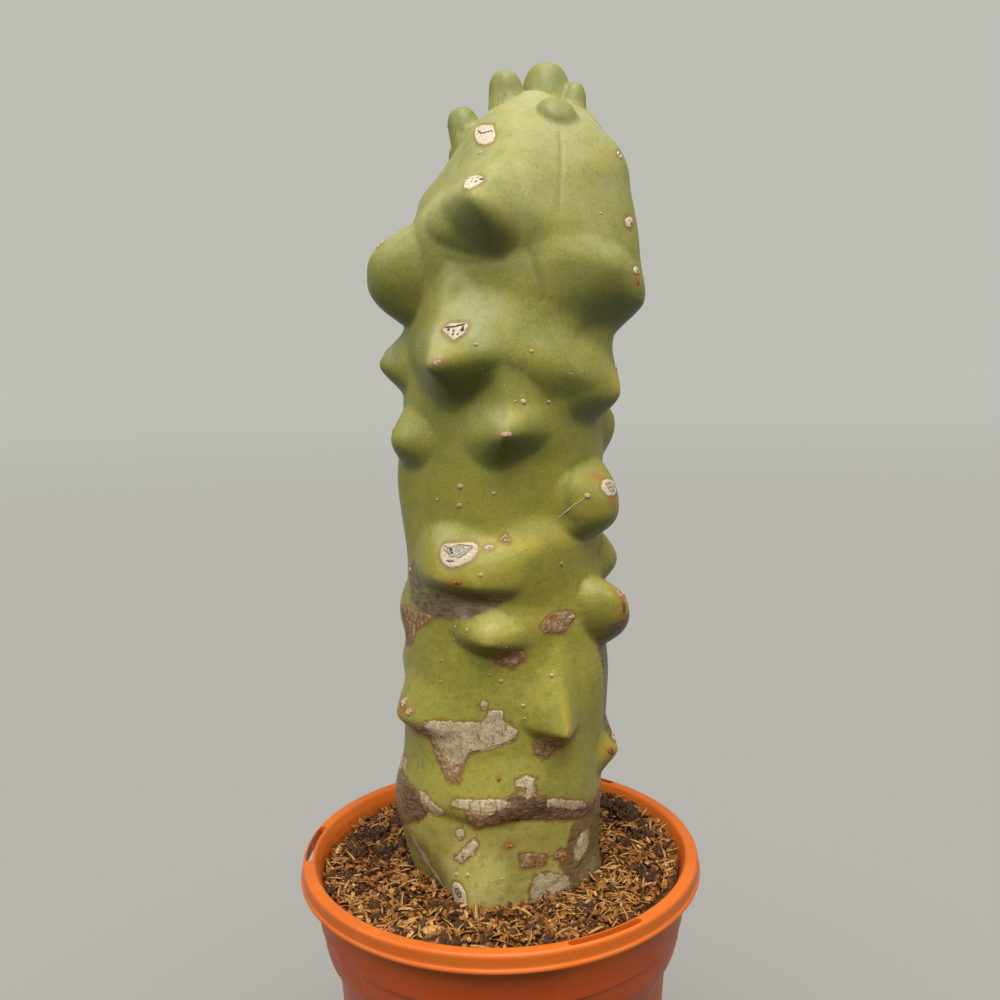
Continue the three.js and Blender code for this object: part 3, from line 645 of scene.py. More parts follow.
def plain_stem(azimuth, level):
    """Points of the plain stem. Past the shoulder a level is the shoulder plus the dome's angle."""
    azimuth, level = np.broadcast_arrays(np.asarray(azimuth, float), np.asarray(level, float))
    dome = np.maximum(0, level - SHOULDER)
    radius, middle = plain_sizes(level)
    share = np.minimum(1, np.sin(dome) / LEAN_END)
    lean = share * share * (3 - 2 * share)
    reach = radius * np.maximum(0, np.cos(dome)) ** DOME_POWER
    x = middle + (APEX_MIDDLE[0] - STATIONS[-1, 2]) * lean + reach * np.sin(azimuth)
    y = APEX_MIDDLE[1] * lean - reach * np.cos(azimuth)
    return np.stack([x, y, height_of(level)], -1)


def height_of(level):
    """Heights above the rim for levels of the plain stem."""
    return np.minimum(level, SHOULDER) + (APEX - SHOULDER) * np.sin(np.maximum(0, level - SHOULDER))


def level_of(height):
    """Levels of the plain stem for heights above the rim."""
    height = np.asarray(height, float)
    dome = np.arcsin(np.clip((height - SHOULDER) / (APEX - SHOULDER), 0, 1))
    return np.where(height <= SHOULDER, height, SHOULDER + dome)


def shape_nose(degrees, height, left, right, up, down, out, droop, point, skirt):
    """Middle, axes and reaches of one nose, from its row of the table."""
    azimuth, level = math.radians(degrees), float(level_of(height))
    across = np.array([math.cos(azimuth), math.sin(azimuth), 0])
    along = plain_stem(azimuth, level + 1e-3) - plain_stem(azimuth, level - 1e-3)
    along -= across * (along @ across)
    along /= np.linalg.norm(along)
    outward = np.cross(across, along)
    push = outward * out - np.array([0, 0, droop])
    return plain_stem(azimuth, level), across, along, outward, push, (left, right, up, down), point, skirt


def shape_lobe(x, y, z, radius, length, degrees, tilt):
    """Foot, axis, radius and length of one lobe, from its row of the table."""
    azimuth, tilt = math.radians(degrees), math.radians(tilt)
    sideways = math.sin(tilt)
    axis = np.array([math.sin(azimuth) * sideways, -math.cos(azimuth) * sideways, math.cos(tilt)])
    return np.array([x, y, z]) - axis * length, axis, radius, length


SHAPED_NOSES = [shape_nose(*nose) for nose in NOSES]
SHAPED_LOBES = [shape_lobe(*lobe) for lobe in LOBES]


def strayed(p):
    """Places read a little off, so that the noses come out uneven."""
    x, y, z = p[..., 0], p[..., 1], p[..., 2]
    return np.stack([
        x + 1.1 * np.sin(0.16 * z + 0.09 * y + 0.6),
        y + 1.1 * np.sin(0.15 * z - 0.1 * x + 2.1),
        z + 1.3 * np.sin(0.17 * x + 0.06 * z + 1) + 1.3 * np.sin(0.15 * y - 0.05 * z),
    ], -1)


def round_axis(offset, axis, radius):
    """How far along an axis places are, and how far away from it as a share of a radius."""
    along = offset @ axis
    return along, np.linalg.norm(offset - along[..., None] * axis, axis=-1) / radius


def stem_surface(azimuth, level):
    """Points of the stem for azimuths in radians and levels."""
    plain = plain_stem(azimuth, level)
    stray = strayed(plain)
    moved = plain.copy()
    for centre, across, along, outward, push, reach, point, skirt in SHAPED_NOSES:
        offset = stray - centre
        sideways, upwards = offset @ across, offset @ along
        u = sideways / np.where(sideways < 0, reach[0], reach[1])
        v = upwards / np.where(upwards < 0, reach[3], reach[2])
        bend = 1 + point / 2
        distance = np.minimum(1, (np.abs(u) ** bend + np.abs(v) ** bend) ** (1 / bend))
        share = np.where(offset @ outward < -NOSE_DEPTH, 0, (1 - distance**point) ** skirt)
        moved += share[..., None] * push
    for foot, axis, radius, length in SHAPED_LOBES:
        along, away = round_axis(moved - foot, axis, radius)
        cover = length * np.sqrt(np.maximum(0, 1 - away**3)) - along
        cover = np.where((away < 1) & (along > -length), np.maximum(0, cover), 0)
        moved += cover[..., None] * axis
    moved[..., 2] += rim_height()
    return moved


def on_stem(degrees, height, above=0.0):
    """Points that stand above the skin at places on the stem."""
    degrees, height = np.asarray(degrees, float), np.asarray(height, float)
    points = stem_surface(np.radians(degrees), level_of(height))
    return points + stem_normal(degrees, height) * np.asarray(above)[..., None]


def stem_normal(degrees, height):
    """Directions out of the skin at places on the stem."""
    degrees, height = np.asarray(degrees, float), np.asarray(height, float)
    turn, level = np.radians(degrees), level_of(height)
    side = stem_surface(turn + 0.007, level) - stem_surface(turn - 0.007, level)
    up = stem_surface(turn, level_of(height + 0.25)) - stem_surface(turn, level_of(height - 0.25))
    normal = np.cross(side, up)
    return normal / np.linalg.norm(normal, axis=-1, keepdims=True)


def unrolled(degrees, height, middle):
    """Places on the stem as millimetres on its unrolled skin."""
    turn = (np.asarray(degrees, float) - middle + 180) % 360 - 180
    return np.stack([np.radians(turn) * GIRTH_RADIUS, np.asarray(height, float)], -1)


def line_distance(p, line):
    """Distance from points to a line of several segments."""
    nearest = np.full(p.shape[:-1], 1e3)
    for a, b in zip(line, line[1:]):
        way = b - a
        share = np.clip((p - a) @ way / (way @ way), 0, 1)
        nearest = np.minimum(nearest, np.linalg.norm(p - a - share[..., None] * way, axis=-1))
    return nearest


def inside_distance(p, outline):
    """Distance to a closed outline, positive inside it."""
    inside = np.zeros(p.shape[:-1], bool)
    for a, b in zip(outline, np.roll(outline, -1, 0)):
        rise = b[1] - a[1] if b[1] != a[1] else 1e-9
        crossed = (a[1] > p[..., 1]) != (b[1] > p[..., 1])
        inside ^= crossed & (p[..., 0] < (b[0] - a[0]) * (p[..., 1] - a[1]) / rise + a[0])
    nearest = line_distance(p, np.vstack([outline, outline[:1]]))
    return np.where(inside, nearest, -nearest)


def drawn_distance(degrees, height, shape, measure):
    """Measures the distance from places on the stem to a shape drawn on its skin."""
    azimuths, heights = np.array(shape, float).T
    middle = azimuths.mean()
    return measure(unrolled(degrees, height, middle), unrolled(azimuths, heights, middle))


def crumble(points, size, seed=0):
    """Rough noise of about -1 to 1, with features of that size."""
    flat = np.asarray(points).reshape(-1, 3) / size + seed
    return np.array([noise.noise(Vector(p)) for p in flat]).reshape(np.shape(points)[:-1])


def ripple(points, size, seed, waves=10):
    """Smooth noise of about -1 to 1, with features of that size."""
    chance = np.random.default_rng(seed)
    total = np.zeros(points.shape[:-1])
    for _ in range(waves):
        way = chance.normal(size=3)
        way *= 2 * math.pi / (size * chance.uniform(1.4, 3)) / np.linalg.norm(way)
        total += np.sin(points @ way + chance.uniform(0, 2 * math.pi))
    return total / 4


def build_stem():
    """The stem as one closed skin, with what its material needs stored on its points."""
    levels = np.concatenate([
        [-HOLE_DEPTH, -45, -30, -18],
        np.linspace(-12, SHOULDER, STEM_ROWS),
        SHOULDER + np.linspace(0, math.pi / 2, DOME_ROWS + 2)[1:-1],
    ])
    level, degrees = np.meshgrid(levels, 180 + np.arange(STEM_COLUMNS) * 360 / STEM_COLUMNS, indexing="ij")
    points = stem_surface(np.radians(degrees), level)
    height = height_of(level)
    normal = np.cross(np.roll(points, -1, 1) - np.roll(points, 1, 1), np.gradient(points, axis=0))
    normal /= np.maximum(1e-9, np.linalg.norm(normal, axis=-1, keepdims=True))
    values = skin_values(points, normal, degrees, height)

    near = values["cork"] > -CORK_EDGE
    relief = 0.12 * ripple(points, 9, 11) * (height > 0)
    broken = 0.12 * crumble(points[near], 1.6) + 0.25 * crumble(points[near], 4, 7)
    relief[near] += np.clip((values["cork"][near] + CORK_EDGE) / (2 * CORK_EDGE), 0, 1) * (0.12 + broken)
    relief -= 0.25 * np.clip(values["seam"] * 2 - 1, 0, 1)
    points = points + normal * relief[..., None]

    foot = (STATIONS[0, 2], 0, rim_height() - HOLE_DEPTH)
    tip = stem_surface(0.0, SHOULDER + math.pi / 2)
    piece = mesh_object("stem", *closed_rows(points, foot, tip), skin_material())
    store(piece, {name: np.append(value, (value[0, 0], value[-1, 0])) for name, value in values.items()})
    settle(piece, "cactus_stem")


def skin_values(points, normal, degrees, height):
    """What the skin's material reads at each point: its height, how far it is inside each mark, and
    how much it has of halo, crease, flush, wax with painted top light, painted shade, age and youth."""
    values = {"height": height}
    for kind, outlines in MARKS.items():
        distances = [drawn_distance(degrees, height, outline, inside_distance) for outline in outlines]
        values[kind] = np.clip(np.max(distances, axis=0), -MARK_REACH, MARK_REACH)
    values["cork"] = np.max([values[kind] for kind in MARKS if kind != "stain"], axis=0)
    distances = [drawn_distance(degrees, height, seam, line_distance) for seam in SEAMS]
    values["seam"] = np.clip(1 - np.min(distances, axis=0) / SEAM_REACH, 0, 1)
    for kind, spots in FLUSHES.items():
        values[kind] = np.zeros(height.shape)
        for azimuth, middle, across, tall, strength in spots:
            x, y = np.moveaxis(unrolled(degrees, height, azimuth), -1, 0)
            spot = strength * np.exp(-((x / across) ** 2) - ((y - middle) / tall) ** 2)
            values[kind] = np.maximum(values[kind], spot)
    rims = [drawn_distance(degrees, height, areole["outline"], inside_distance) for areole in AREOLES]
    for azimuth, middle, wide, tall in SMALL_AREOLES:
        x, y = np.moveaxis(unrolled(degrees, height, azimuth), -1, 0)
        rims.append((1 - np.hypot(2 * x / wide, 2 * (y - middle) / tall)) * tall / 2)
    values["halo"] = np.clip(1 + np.max(rims, axis=0) / HALO_WIDTH, 0, 1)
    values["young"] = np.zeros(height.shape)
    for foot, axis, radius, _ in SHAPED_LOBES:
        along, away = round_axis(points - foot - (0, 0, rim_height()), axis, radius)
        within = np.clip(along / 3, 0, 1) * np.clip((1.03 - away) / 0.12, 0, 1)
        values["young"] = np.maximum(values["young"], within)
    upward = normal[..., 2]
    wax_and_light_share = np.interp(height, [0, 70, 120, 190, 225, 248], [0.1, 0.15, 0.5, 0.95, 0.5, 0.7])
    wax_and_light_share = wax_and_light_share * (0.85 + 0.4 * ripple(points, 22, 3))
    # chalky wax spots, some of them painted light along the shoulder's lit top
    wax_and_light_share = np.maximum(wax_and_light_share, values.pop("chalk"))
    # pale wax on what faces up, partly painted light from above
    values["bloom"] = np.clip((upward + 0.05) / 0.75, 0, 1) * wax_and_light_share
    # painted shade: what faces down, under the noses, is painted a deeper green
    values["hollow"] = np.clip(-(upward + 0.08) / 0.6, 0, 1)
    values["aged"] = np.clip((175 - height) / 70, 0, 1)
    return values


def skin_material():
    """Living cactus skin, smooth and covered in wax: satin sheen, a pale film of wax on what faces up
    that is partly painted light from above, painted shade of deeper green on what faces down, and old
    cork that is dry, pale and crackled."""
    material, tree, place = new_material("Waxy cactus skin")
    upright = add(tree, "ShaderNodeVectorMath", {0: place, 1: (1, 1, 0.35)}, operation="MULTIPLY")
    lying = add(tree, "ShaderNodeVectorMath", {0: place, 1: (0.5, 0.5, 1.6)}, operation="MULTIPLY")
    skin = layered(tree, place, "a8a446", [
        ("height", 25, 60, 40, -10, 1, "c8c57c"),
        ("height", 25, 60, 40, 110, 1, "a09a3a"),
        ("height", 25, 60, 110, 165, 1, "8d9040"),
        ("height", 25, 60, 175, 235, 1, "98995a"),
        ("", 14, 1, -0.04, 0.14, 0.4, "aaa044"),
        ("", 9, 1, 0.02, 0.18, 0.35, "727e34"),
        ("aged", 4.5, 1, 1.0, 1.25, 0.45, "b8b04e"),
        ("aged", 2.8, 1, 1.0, 1.25, 0.42, "6e782c"),
        # the grain of the cells, drawn at 0.7 mm so that it shows
        ("", 0.7, 1, 0.02, 0.22, 0.42, "bcb45c"),
        ("", 0.9, 1, -0.03, -0.2, 0.32, "5f6a2a"),
        # painted shade: deeper green on what faces down
        ("hollow", 6, 0.4, 0.0, 0.9, 0.5, "34481e"),
        ("yellow", 3, 0.6, 0.1, 0.9, 0.75, "c6b440"),
        # pale wax on what faces up, partly painted light from above
        ("bloom", 6, 0.9, 0.15, 1.1, 0.62, "c4c89c"),
        ("young", 3, 0.3, 0.3, 0.9, 0.5, "7a8646"),
        # painted shade: the creases are painted a darker green along their grooves
        ("seam", 1, 0.2, 0.3, 0.95, 0.35, "6a743a"),
    ])
    # the older skin is mottled in short level streaks
    skin = layered(tree, lying, skin, [
        ("aged", 2.0, 1, 1.0, 1.2, 0.32, "c4b452"), ("aged", 1.5, 1, 1.04, 1.24, 0.14, "626c28"),
    ])
    skin = layered(tree, upright, skin, [
        ("", 0.9, 1, 0.1, 0.22, 0.14, "ccce9c"), ("", 1.6, 1, 0.05, 0.2, 0.16, "5e6a2e"),
    ])
    flaky = layered(tree, place, "9c7c58", [
        ("", 1.4, 1, -0.05, 0.12, 1, "c4a884"), ("", 2.4, 1, 0.0, 0.16, 0.9, "9c6838"),
        ("", 1.0, 1, -0.06, -0.2, 0.9, "4c3822"),
    ])
    weathered = layered(tree, lying, "6a5038", [
        ("", 1.2, 1, -0.06, 0.12, 0.9, "94765a"), ("", 1.8, 1, 0.03, 0.18, 0.9, "3c2a1c"),
        ("", 0.8, 1, 0.08, 0.22, 0.8, "b89a70"),
    ])
    callus = layered(tree, place, "d0c5a4", [
        ("", 1.8, 1, -0.02, 0.16, 0.9, "dad0b2"), ("", 3, 1, 0.0, 0.18, 0.7, "96805a"),
        ("", 2.4, 1, -0.04, -0.2, 0.7, "9a9a58"),
    ])
    drab = layered(tree, lying, "7e6a4a", [
        ("", 1.4, 1, 0.02, 0.16, 0.7, "a69272"), ("", 2.0, 1, -0.02, -0.16, 0.9, "54432a"),
    ])
    skin = layered(tree, place, skin, [
        ("halo", 0.9, 0.5, 0.25, 0.8, 0.6, "8f7230"),
        ("rust", 1.5, 0.9, 0.15, 0.9, 0.8, "ad7434"),
        ("stain", 2.4, 2.6, -1.2, 0.2, 0.95, drab),
        ("cork", 1.6, 3, -1.2, -0.2, 0.85, "8c6430"),
        ("brown_cork", 1.6, 3, -0.3, 0.4, 1, flaky),
        ("dark_cork", 1.4, 3, -0.4, 0.5, 1, weathered),
        ("callus", 2.0, 5, -0.6, 1.2, 1, callus),
        ("pale_cork", 1.6, 3, -0.3, 0.3, 1, crackled(tree, place)),
    ])
    where = add(tree, "ShaderNodeAttribute", output="Fac", attribute_name="cork")
    dry = add(tree, "ShaderNodeMapRange", {0: where, 1: -0.4, 2: 0.4, 3: 0.0, 4: 0.85})
    wax = add(tree, "ShaderNodeAttribute", output="Fac", attribute_name="bloom")
    wax = add(tree, "ShaderNodeMapRange", {0: wax, 1: 0.0, 2: 1.0, 3: 0.42, 4: 0.6})
    roughness = add(tree, "ShaderNodeMath", {0: dry, 1: wax}, operation="MAXIMUM")
    relief = rough_relief(tree, place, [("", 0.8, 0.05), ("", 4, 0.12), ("cork", 1.1, 0.3)])
    surface(tree, skin, roughness, relief)
    return material


def crackled(tree, place):
    """Colour of pale cork: beige plates with thin upright cracks that break off here and there."""
    cork = layered(tree, place, "cbb892", [
        ("", 2.2, 1, -0.05, 0.15, 0.9, "ded0ae"), ("", 3.1, 1, 0.05, 0.2, 0.6, "b08a5c"),
        ("", 0.7, 1, 0.04, 0.2, 0.6, "ebe1c6"),
    ])
    bend = add(tree, "ShaderNodeTexNoise", {"Vector": place, "Scale": per_mm(2), "Detail": 2.0}, output=1)
    shift = {0: bend, 1: (0.002, 0.002, 0.002), 2: place}
    bent = add(tree, "ShaderNodeVectorMath", shift, operation="MULTIPLY_ADD")
    bent = add(tree, "ShaderNodeVectorMath", {0: bent, 1: (1, 1, 0.35)}, operation="MULTIPLY")
    cells = {"Vector": bent, "Scale": per_mm(1.0)}
    crack = add(tree, "ShaderNodeTexVoronoi", cells, feature="DISTANCE_TO_EDGE")
    crack = add(tree, "ShaderNodeMapRange", {0: crack, 1: 0.01, 2: 0.1, 3: 0.85, 4: 0.0})
    whole = add(tree, "ShaderNodeTexNoise", {"Vector": bent, "Scale": per_mm(1.5), "Detail": 2.0})
    whole = add(tree, "ShaderNodeMapRange", {0: whole, 1: 0.48, 2: 0.58})
    crack = add(tree, "ShaderNodeMath", {0: crack, 1: whole}, operation="MULTIPLY")
    return add(tree, "ShaderNodeMix", {0: crack, 6: cork, 7: colour("3f2e1e")}, 2, data_type="RGBA")


def pad(outline, rings, sides, rise, sink=0.18, edge_width=0.55):
    """A pad over the stem within an outline, its edge sunk in the skin: points, faces, azimuths,
    heights, and how far each point is in from the edge."""
    azimuths, heights = np.array(outline, float).T
    middle = np.array([azimuths.mean(), heights.mean()])
    flat = unrolled(azimuths, heights, middle[0]) - (0, middle[1])
    closed = np.vstack([flat, flat[:1]])
    length = np.append(0, np.cumsum(np.linalg.norm(np.diff(closed, axis=0), axis=1)))
    at = np.linspace(0, length[-1], sides, endpoint=False)
    edge = np.stack([np.interp(at, length, closed[:, 0]), np.interp(at, length, closed[:, 1])], -1)
    for _ in range(3):
        edge = (np.roll(edge, 1, 0) + 2 * edge + np.roll(edge, -1, 0)) / 4
    if np.cross(edge[0], edge[1]) < 0:
        edge = edge[::-1]
    shares = np.append(np.linspace(1, 0, rings, endpoint=False).repeat(sides), 0)
    spread = np.vstack([np.tile(edge, (rings, 1)), (0, 0)])
    size = np.append(np.tile(np.linalg.norm(edge, axis=1), rings), np.linalg.norm(edge, axis=1).mean())
    flat = spread * shares[:, None]
    depth = size * (1 - shares)
    degrees = middle[0] + np.degrees(flat[:, 0] / GIRTH_RADIUS)
    height = middle[1] + flat[:, 1]
    above = (rise + sink) * np.clip(depth / edge_width, 0, 1) ** 0.6 - sink
    count = rings * sides
    faces = rows_to_faces(rings, sides) + cap(np.arange(count - sides, count), count, True)
    return on_stem(degrees, height, above), faces, degrees, height, depth


def blot(azimuth, height, wide, tall, chance, count=16):
    """Uneven round outline on the stem."""
    turn = np.linspace(0, 2 * math.pi, count, endpoint=False)
    wave = chance.uniform(0, 6)
    wobble = 1 + 0.13 * np.sin(2 * turn + wave) + 0.1 * np.sin(3 * turn + 2 * wave) + 0.06 * np.sin(5 * turn)
    across = np.degrees(0.5 * wide * wobble * np.cos(turn) / GIRTH_RADIUS)
    return np.column_stack([azimuth + across, height + 0.5 * tall * wobble * np.sin(turn)])


def joined(name, parts, material):
    """One object from several parts, each its points, faces and values for its points."""
    points = np.vstack([part[0] for part in parts])
    starts = np.cumsum([0] + [len(part[0]) for part in parts])
    faces = [tuple(v + start for v in face) for part, start in zip(parts, starts) for face in part[1]]
    piece = mesh_object(name, points, faces, material)
    store(piece, {key: np.concatenate([part[2][key] for part in parts]) for key in parts[0][2]})
    return piece


def build_areoles():
    """The areoles as one mesh, with the marks in their felt stored on its points."""
    chance = np.random.default_rng(5)
    areoles = list(AREOLES)
    for azimuth, height, wide, tall in SMALL_AREOLES:
        spread = np.degrees(0.28 * wide / GIRTH_RADIUS)
        dots = [(azimuth + spread * chance.uniform(-1, 1), height + 0.25 * tall * chance.uniform(-1, 1),
                 chance.uniform(0.2, 0.4)) for _ in range(3)]
        outline = blot(azimuth, height, wide, tall, chance)
        blush = chance.uniform(0, 0.6)
        areoles.append({"outline": outline, "dots": dots, "blush": blush, "mesh": SMALL_MESH})
    parts = []
    for areole in areoles:
        rings, sides = areole.get("mesh", AREOLE_MESH)
        points, faces, degrees, height, depth = pad(areole["outline"], rings, sides, AREOLE_RISE)
        dark, middle = np.full(len(points), 3.0), np.full(len(points), -1.0)
        for stroke in areole.get("strokes", []):
            away = drawn_distance(degrees, height, stroke, line_distance)
            dark = np.minimum(dark, away - areole.get("stroke", STROKE_WIDTH))
        circles = [(x, y, 0, size) for x, y, size in areole.get("dots", [])]
        if "ring" in areole:
            circles.append((*areole["ring"], RING_WIDTH))
        for x, y, size, width in circles:
            away = np.linalg.norm(unrolled(degrees, height, x) - (0, y), axis=1)
            dark = np.minimum(dark, np.abs(away - size) - width)
            middle = np.maximum(middle, size - away)
        if "inner" in areole:
            middle = drawn_distance(degrees, height, areole["inner"], inside_distance)
            dark = np.minimum(dark, np.abs(middle) - LINE_WIDTH)
        blush = np.full(len(points), areole["blush"])
        parts.append((points, faces, {"depth": depth, "dark": dark, "blush": blush, "middle": middle}))
    settle(joined("areoles", parts, felt_material()))


def felt_material():
    """Short dense areole felt, grown rather than woven: dry, cream and without any gloss, with the
    dark stubs and slits where spines never formed and a thin brown edge of cork."""
    material, tree, place = new_material("Areole felt")
    grey = layered(tree, place, "aeae98", [
        ("", 0.6, 1, 0, 0.15, 1, "dcd8c4"), ("", 0.6, 1, -0.03, -0.2, 1, "7c8070"),
    ])
    felt = layered(tree, place, "d8c8ae", [
        ("", 0.9, 1, -0.08, 0.12, 1, "eee4d0"),
        ("blush", 1.5, 0.8, 0.1, 1.2, 0.75, "c79c82"),
        ("", 0.5, 1, 0.08, 0.2, 0.4, "8d765f"),
        ("middle", 0.5, 0.2, 0, 0.3, 1, grey),
        ("dark", 0.5, 0.4, 0.14, -0.08, 0.95, "342b24"),
        ("depth", 0.8, 0.5, 0.4, 0.05, 0.8, "8a672f"),
    ])
    surface(tree, felt, 0.95, rough_relief(tree, place, [("", 0.35, 0.16), ("", 0.8, 0.2)]), 1.4)
    return material


def build_scabs():
    """Flaky scabs on the tips of the noses, and the pale threads of healed scratches."""
    chance = np.random.default_rng(9)
    parts = []
    for azimuth, height, wide, tall, brown in SCABS:
        outline = blot(azimuth, height, wide, tall, chance)
        points, faces, degrees, heights, depth = pad(outline, *SCAB_MESH, SCAB_RISE)
        lumps = 0.22 * crumble(points, 0.7, 3) * np.clip(depth / 0.5, 0, 1)
        points = points + stem_normal(degrees, heights) * lumps[:, None]
        parts.append((points, faces, {"tone": np.full(len(points), brown), "depth": depth}))
    parts += [healed_scratch(scratch) for scratch in SCRATCHES]
    settle(joined("scabs", parts, scab_material()))


def healed_scratch(line):
    """A thin thread that stands out of the skin along a line: points, faces and values."""
    corners, steps = np.arange(len(line)), 8 * len(line)
    azimuths, heights = np.array(line, float).T
    at = np.linspace(0, len(line) - 1, steps)
    degrees, height = np.interp(at, corners, azimuths), np.interp(at, corners, heights)
    heading = np.gradient(unrolled(degrees, height, degrees[0]), axis=0)
    heading /= np.linalg.norm(heading, axis=1, keepdims=True)
    half = SCRATCH_WIDTH * np.sin(np.pi * np.clip(at / at[-1], 0.02, 0.98)) ** 0.5
    half *= 0.75 + 0.35 * np.sin(at * 5)
    profile = ((-1, -0.05), (-0.4, 0.1), (0.4, 0.1), (1, -0.05))
    rows = [
        on_stem(degrees - np.degrees(heading[:, 1] * half * side / GIRTH_RADIUS),
                height + heading[:, 0] * half * side, np.full(steps, above))
        for side, above in profile
    ]
    count = len(profile) * steps
    values = {"tone": np.full(count, -0.4), "depth": np.full(count, 0.8)}
    return np.vstack(rows), rows_to_faces(len(profile), steps, closed=False), values


def scab_material():
    """Dried sap and cork grown over a wound: flaky, matt, from pale pink to rusty brown."""
    return plain_material("Healed scab", "d6c6a0", [
        ("tone", 0.8, 1.2, -0.1, 0.3, 1, "c8a388"), ("tone", 0.8, 1.2, 0.3, 0.6, 1, "a5713f"),
        ("tone", 0.8, 1.4, 0.6, 1.0, 1, "6b4628"), ("depth", 0.6, 0.5, 0.35, 0.05, 0.5, "7a5a2c"),
    ], 0.75, [("", 0.6, 0.35)])


def new_tree(name, sockets):
    """Geometry tree with named inputs, and the sockets that give them."""
    tree = bpy.data.node_groups.new(name, "GeometryNodeTree")
    tree.interface.new_socket("Geometry", in_out="INPUT", socket_type="NodeSocketGeometry")
    for label, kind in sockets.items():
        tree.interface.new_socket(label, in_out="INPUT", socket_type="NodeSocket" + kind)
    tree.interface.new_socket("Geometry", in_out="OUTPUT", socket_type="NodeSocketGeometry")
    given = {socket.name: socket for socket in add(tree, "NodeGroupInput").node.outputs}
    return tree, given


def end_tree(tree, instances, material):
    """Makes the instances real, gives them their material and sends them out."""
    real = add(tree, "GeometryNodeRealizeInstances", {0: instances})
    dressed = add(tree, "GeometryNodeSetMaterial", {"Geometry": real, "Material": material})
    add(tree, "NodeGroupOutput", {0: dressed})


def grown(piece, tree, values):
    """The piece's mesh after the tree, with the tree's inputs set by their identifiers."""
    modifier = piece.modifiers.new("grow", "NODES")
    modifier.node_group = tree
    for item in tree.interface.items_tree:
        if item.in_out == "INPUT" and item.name in values:
            modifier[item.identifier] = values[item.name]
    return baked(piece)


def scatter_tree():
    """Strews shapes in drifts over a surface, leaning and piled, with a tone for each."""
    tree, given = new_tree("Strewn over the compost", {
        "Shapes": "Collection", "Density": "Float", "Smallest": "Float", "Largest": "Float",
        "Crowd": "Float", "Lean": "Float", "Pile": "Float", "Drift": "Float", "Seed": "Int",
        "Material": "Material",
    })
    seed = given["Seed"]
    drifts = add(tree, "ShaderNodeTexNoise", {"Scale": per_mm(14), "Detail": 1.0})
    thin = add(tree, "ShaderNodeMath", {0: 1.0, 1: given["Drift"]}, operation="SUBTRACT")
    drifts = add(tree, "ShaderNodeMapRange", {0: drifts, 1: 0.42, 2: 0.58, 3: thin, 4: 1.0})
    density = add(tree, "ShaderNodeMath", {0: given["Density"], 1: drifts}, operation="MULTIPLY")
    points = add(tree, "GeometryNodeDistributePointsOnFaces", {
        "Mesh": given["Geometry"], "Density": density, "Seed": seed,
    })
    rise = add(tree, "FunctionNodeRandomValue", {2: 0.0, 3: given["Pile"], "Seed": seed}, 1)
    offset = add(tree, "ShaderNodeCombineXYZ", {2: rise})
    points = add(tree, "GeometryNodeSetPosition", {"Geometry": points, "Offset": offset})
    lean = given["Lean"]
    back = add(tree, "ShaderNodeMath", {0: lean, 1: -1.0}, operation="MULTIPLY")
    low = add(tree, "ShaderNodeCombineXYZ", {0: back, 1: back})
    high = add(tree, "ShaderNodeCombineXYZ", {0: lean, 1: lean, 2: 2 * math.pi})
    turn = add(tree, "FunctionNodeRandomValue", {0: low, 1: high, "Seed": seed}, data_type="FLOAT_VECTOR")
    chance = add(tree, "FunctionNodeRandomValue", {2: 0.0, 3: 1.0, "Seed": seed}, 1)
    chance = add(tree, "ShaderNodeMath", {0: chance, 1: given["Crowd"]}, operation="POWER")
    size = add(tree, "ShaderNodeMapRange", {0: chance, 3: given["Smallest"], 4: given["Largest"]})
    shapes = add(tree, "GeometryNodeCollectionInfo", {
        "Collection": given["Shapes"], "Separate Children": True, "Reset Children": True,
    })
    placed = add(tree, "GeometryNodeInstanceOnPoints", {
        "Points": points, "Instance": shapes, "Pick Instance": True,
        "Rotation": add(tree, "FunctionNodeEulerToRotation", {0: turn}), "Scale": size,
    })
    tone = add(tree, "FunctionNodeRandomValue", {2: 0.0, 3: 1.0, "Seed": seed}, 1)
    toned = add(tree, "GeometryNodeStoreNamedAttribute", {
        "Geometry": placed, "Name": "tone", "Value": tone,
    }, data_type="FLOAT", domain="INSTANCE")
    end_tree(tree, toned, given["Material"])
    return tree


def dot_tree():
    """Sets a small dome on each point, along the point's own direction and of its own size."""
    tree, given = new_tree("Raised dots", {"Flatness": "Float", "Material": "Material"})
    facing = add(tree, "GeometryNodeInputNamedAttribute", {"Name": "facing"}, data_type="FLOAT_VECTOR")
    size = add(tree, "GeometryNodeInputNamedAttribute", {"Name": "size"}, data_type="FLOAT")
    flat = add(tree, "ShaderNodeMath", {0: size, 1: given["Flatness"]}, operation="MULTIPLY")
    narrow = add(tree, "ShaderNodeMath", {0: size, 1: 0.8}, operation="MULTIPLY")
    dome = add(tree, "GeometryNodeMeshIcoSphere", {"Radius": 0.5, "Subdivisions": 2})
    placed = add(tree, "GeometryNodeInstanceOnPoints", {
        "Points": given["Geometry"],
        "Instance": add(tree, "GeometryNodeSetShadeSmooth", {"Geometry": dome}),
        "Rotation": add(tree, "FunctionNodeAlignRotationToVector", {"Vector": facing}, axis="Z"),
        "Scale": add(tree, "ShaderNodeCombineXYZ", {0: size, 1: narrow, 2: flat}),
    })
    end_tree(tree, placed, given["Material"])
    return tree


def build_dots(count, seed):
    """Small raised dots: those of the table, and specks strewn over the rest of the skin."""
    chance = np.random.default_rng(seed)
    ranges = [(-180, 180), (4, 185), (0.25, 0.6), (0, 0.4)]
    strewn = np.column_stack([chance.uniform(low, high, count) for low, high in ranges])
    azimuth, height, size, tone = np.vstack([SKIN_DOTS, strewn]).T
    piece = mesh_object("skin_dots", on_stem(azimuth, height), [])
    store(piece, {"facing": stem_normal(azimuth, height), "size": size * MM, "tone": tone})
    settle(grown(piece, dot_tree(), {"Flatness": 0.4, "Material": speck_material()}))


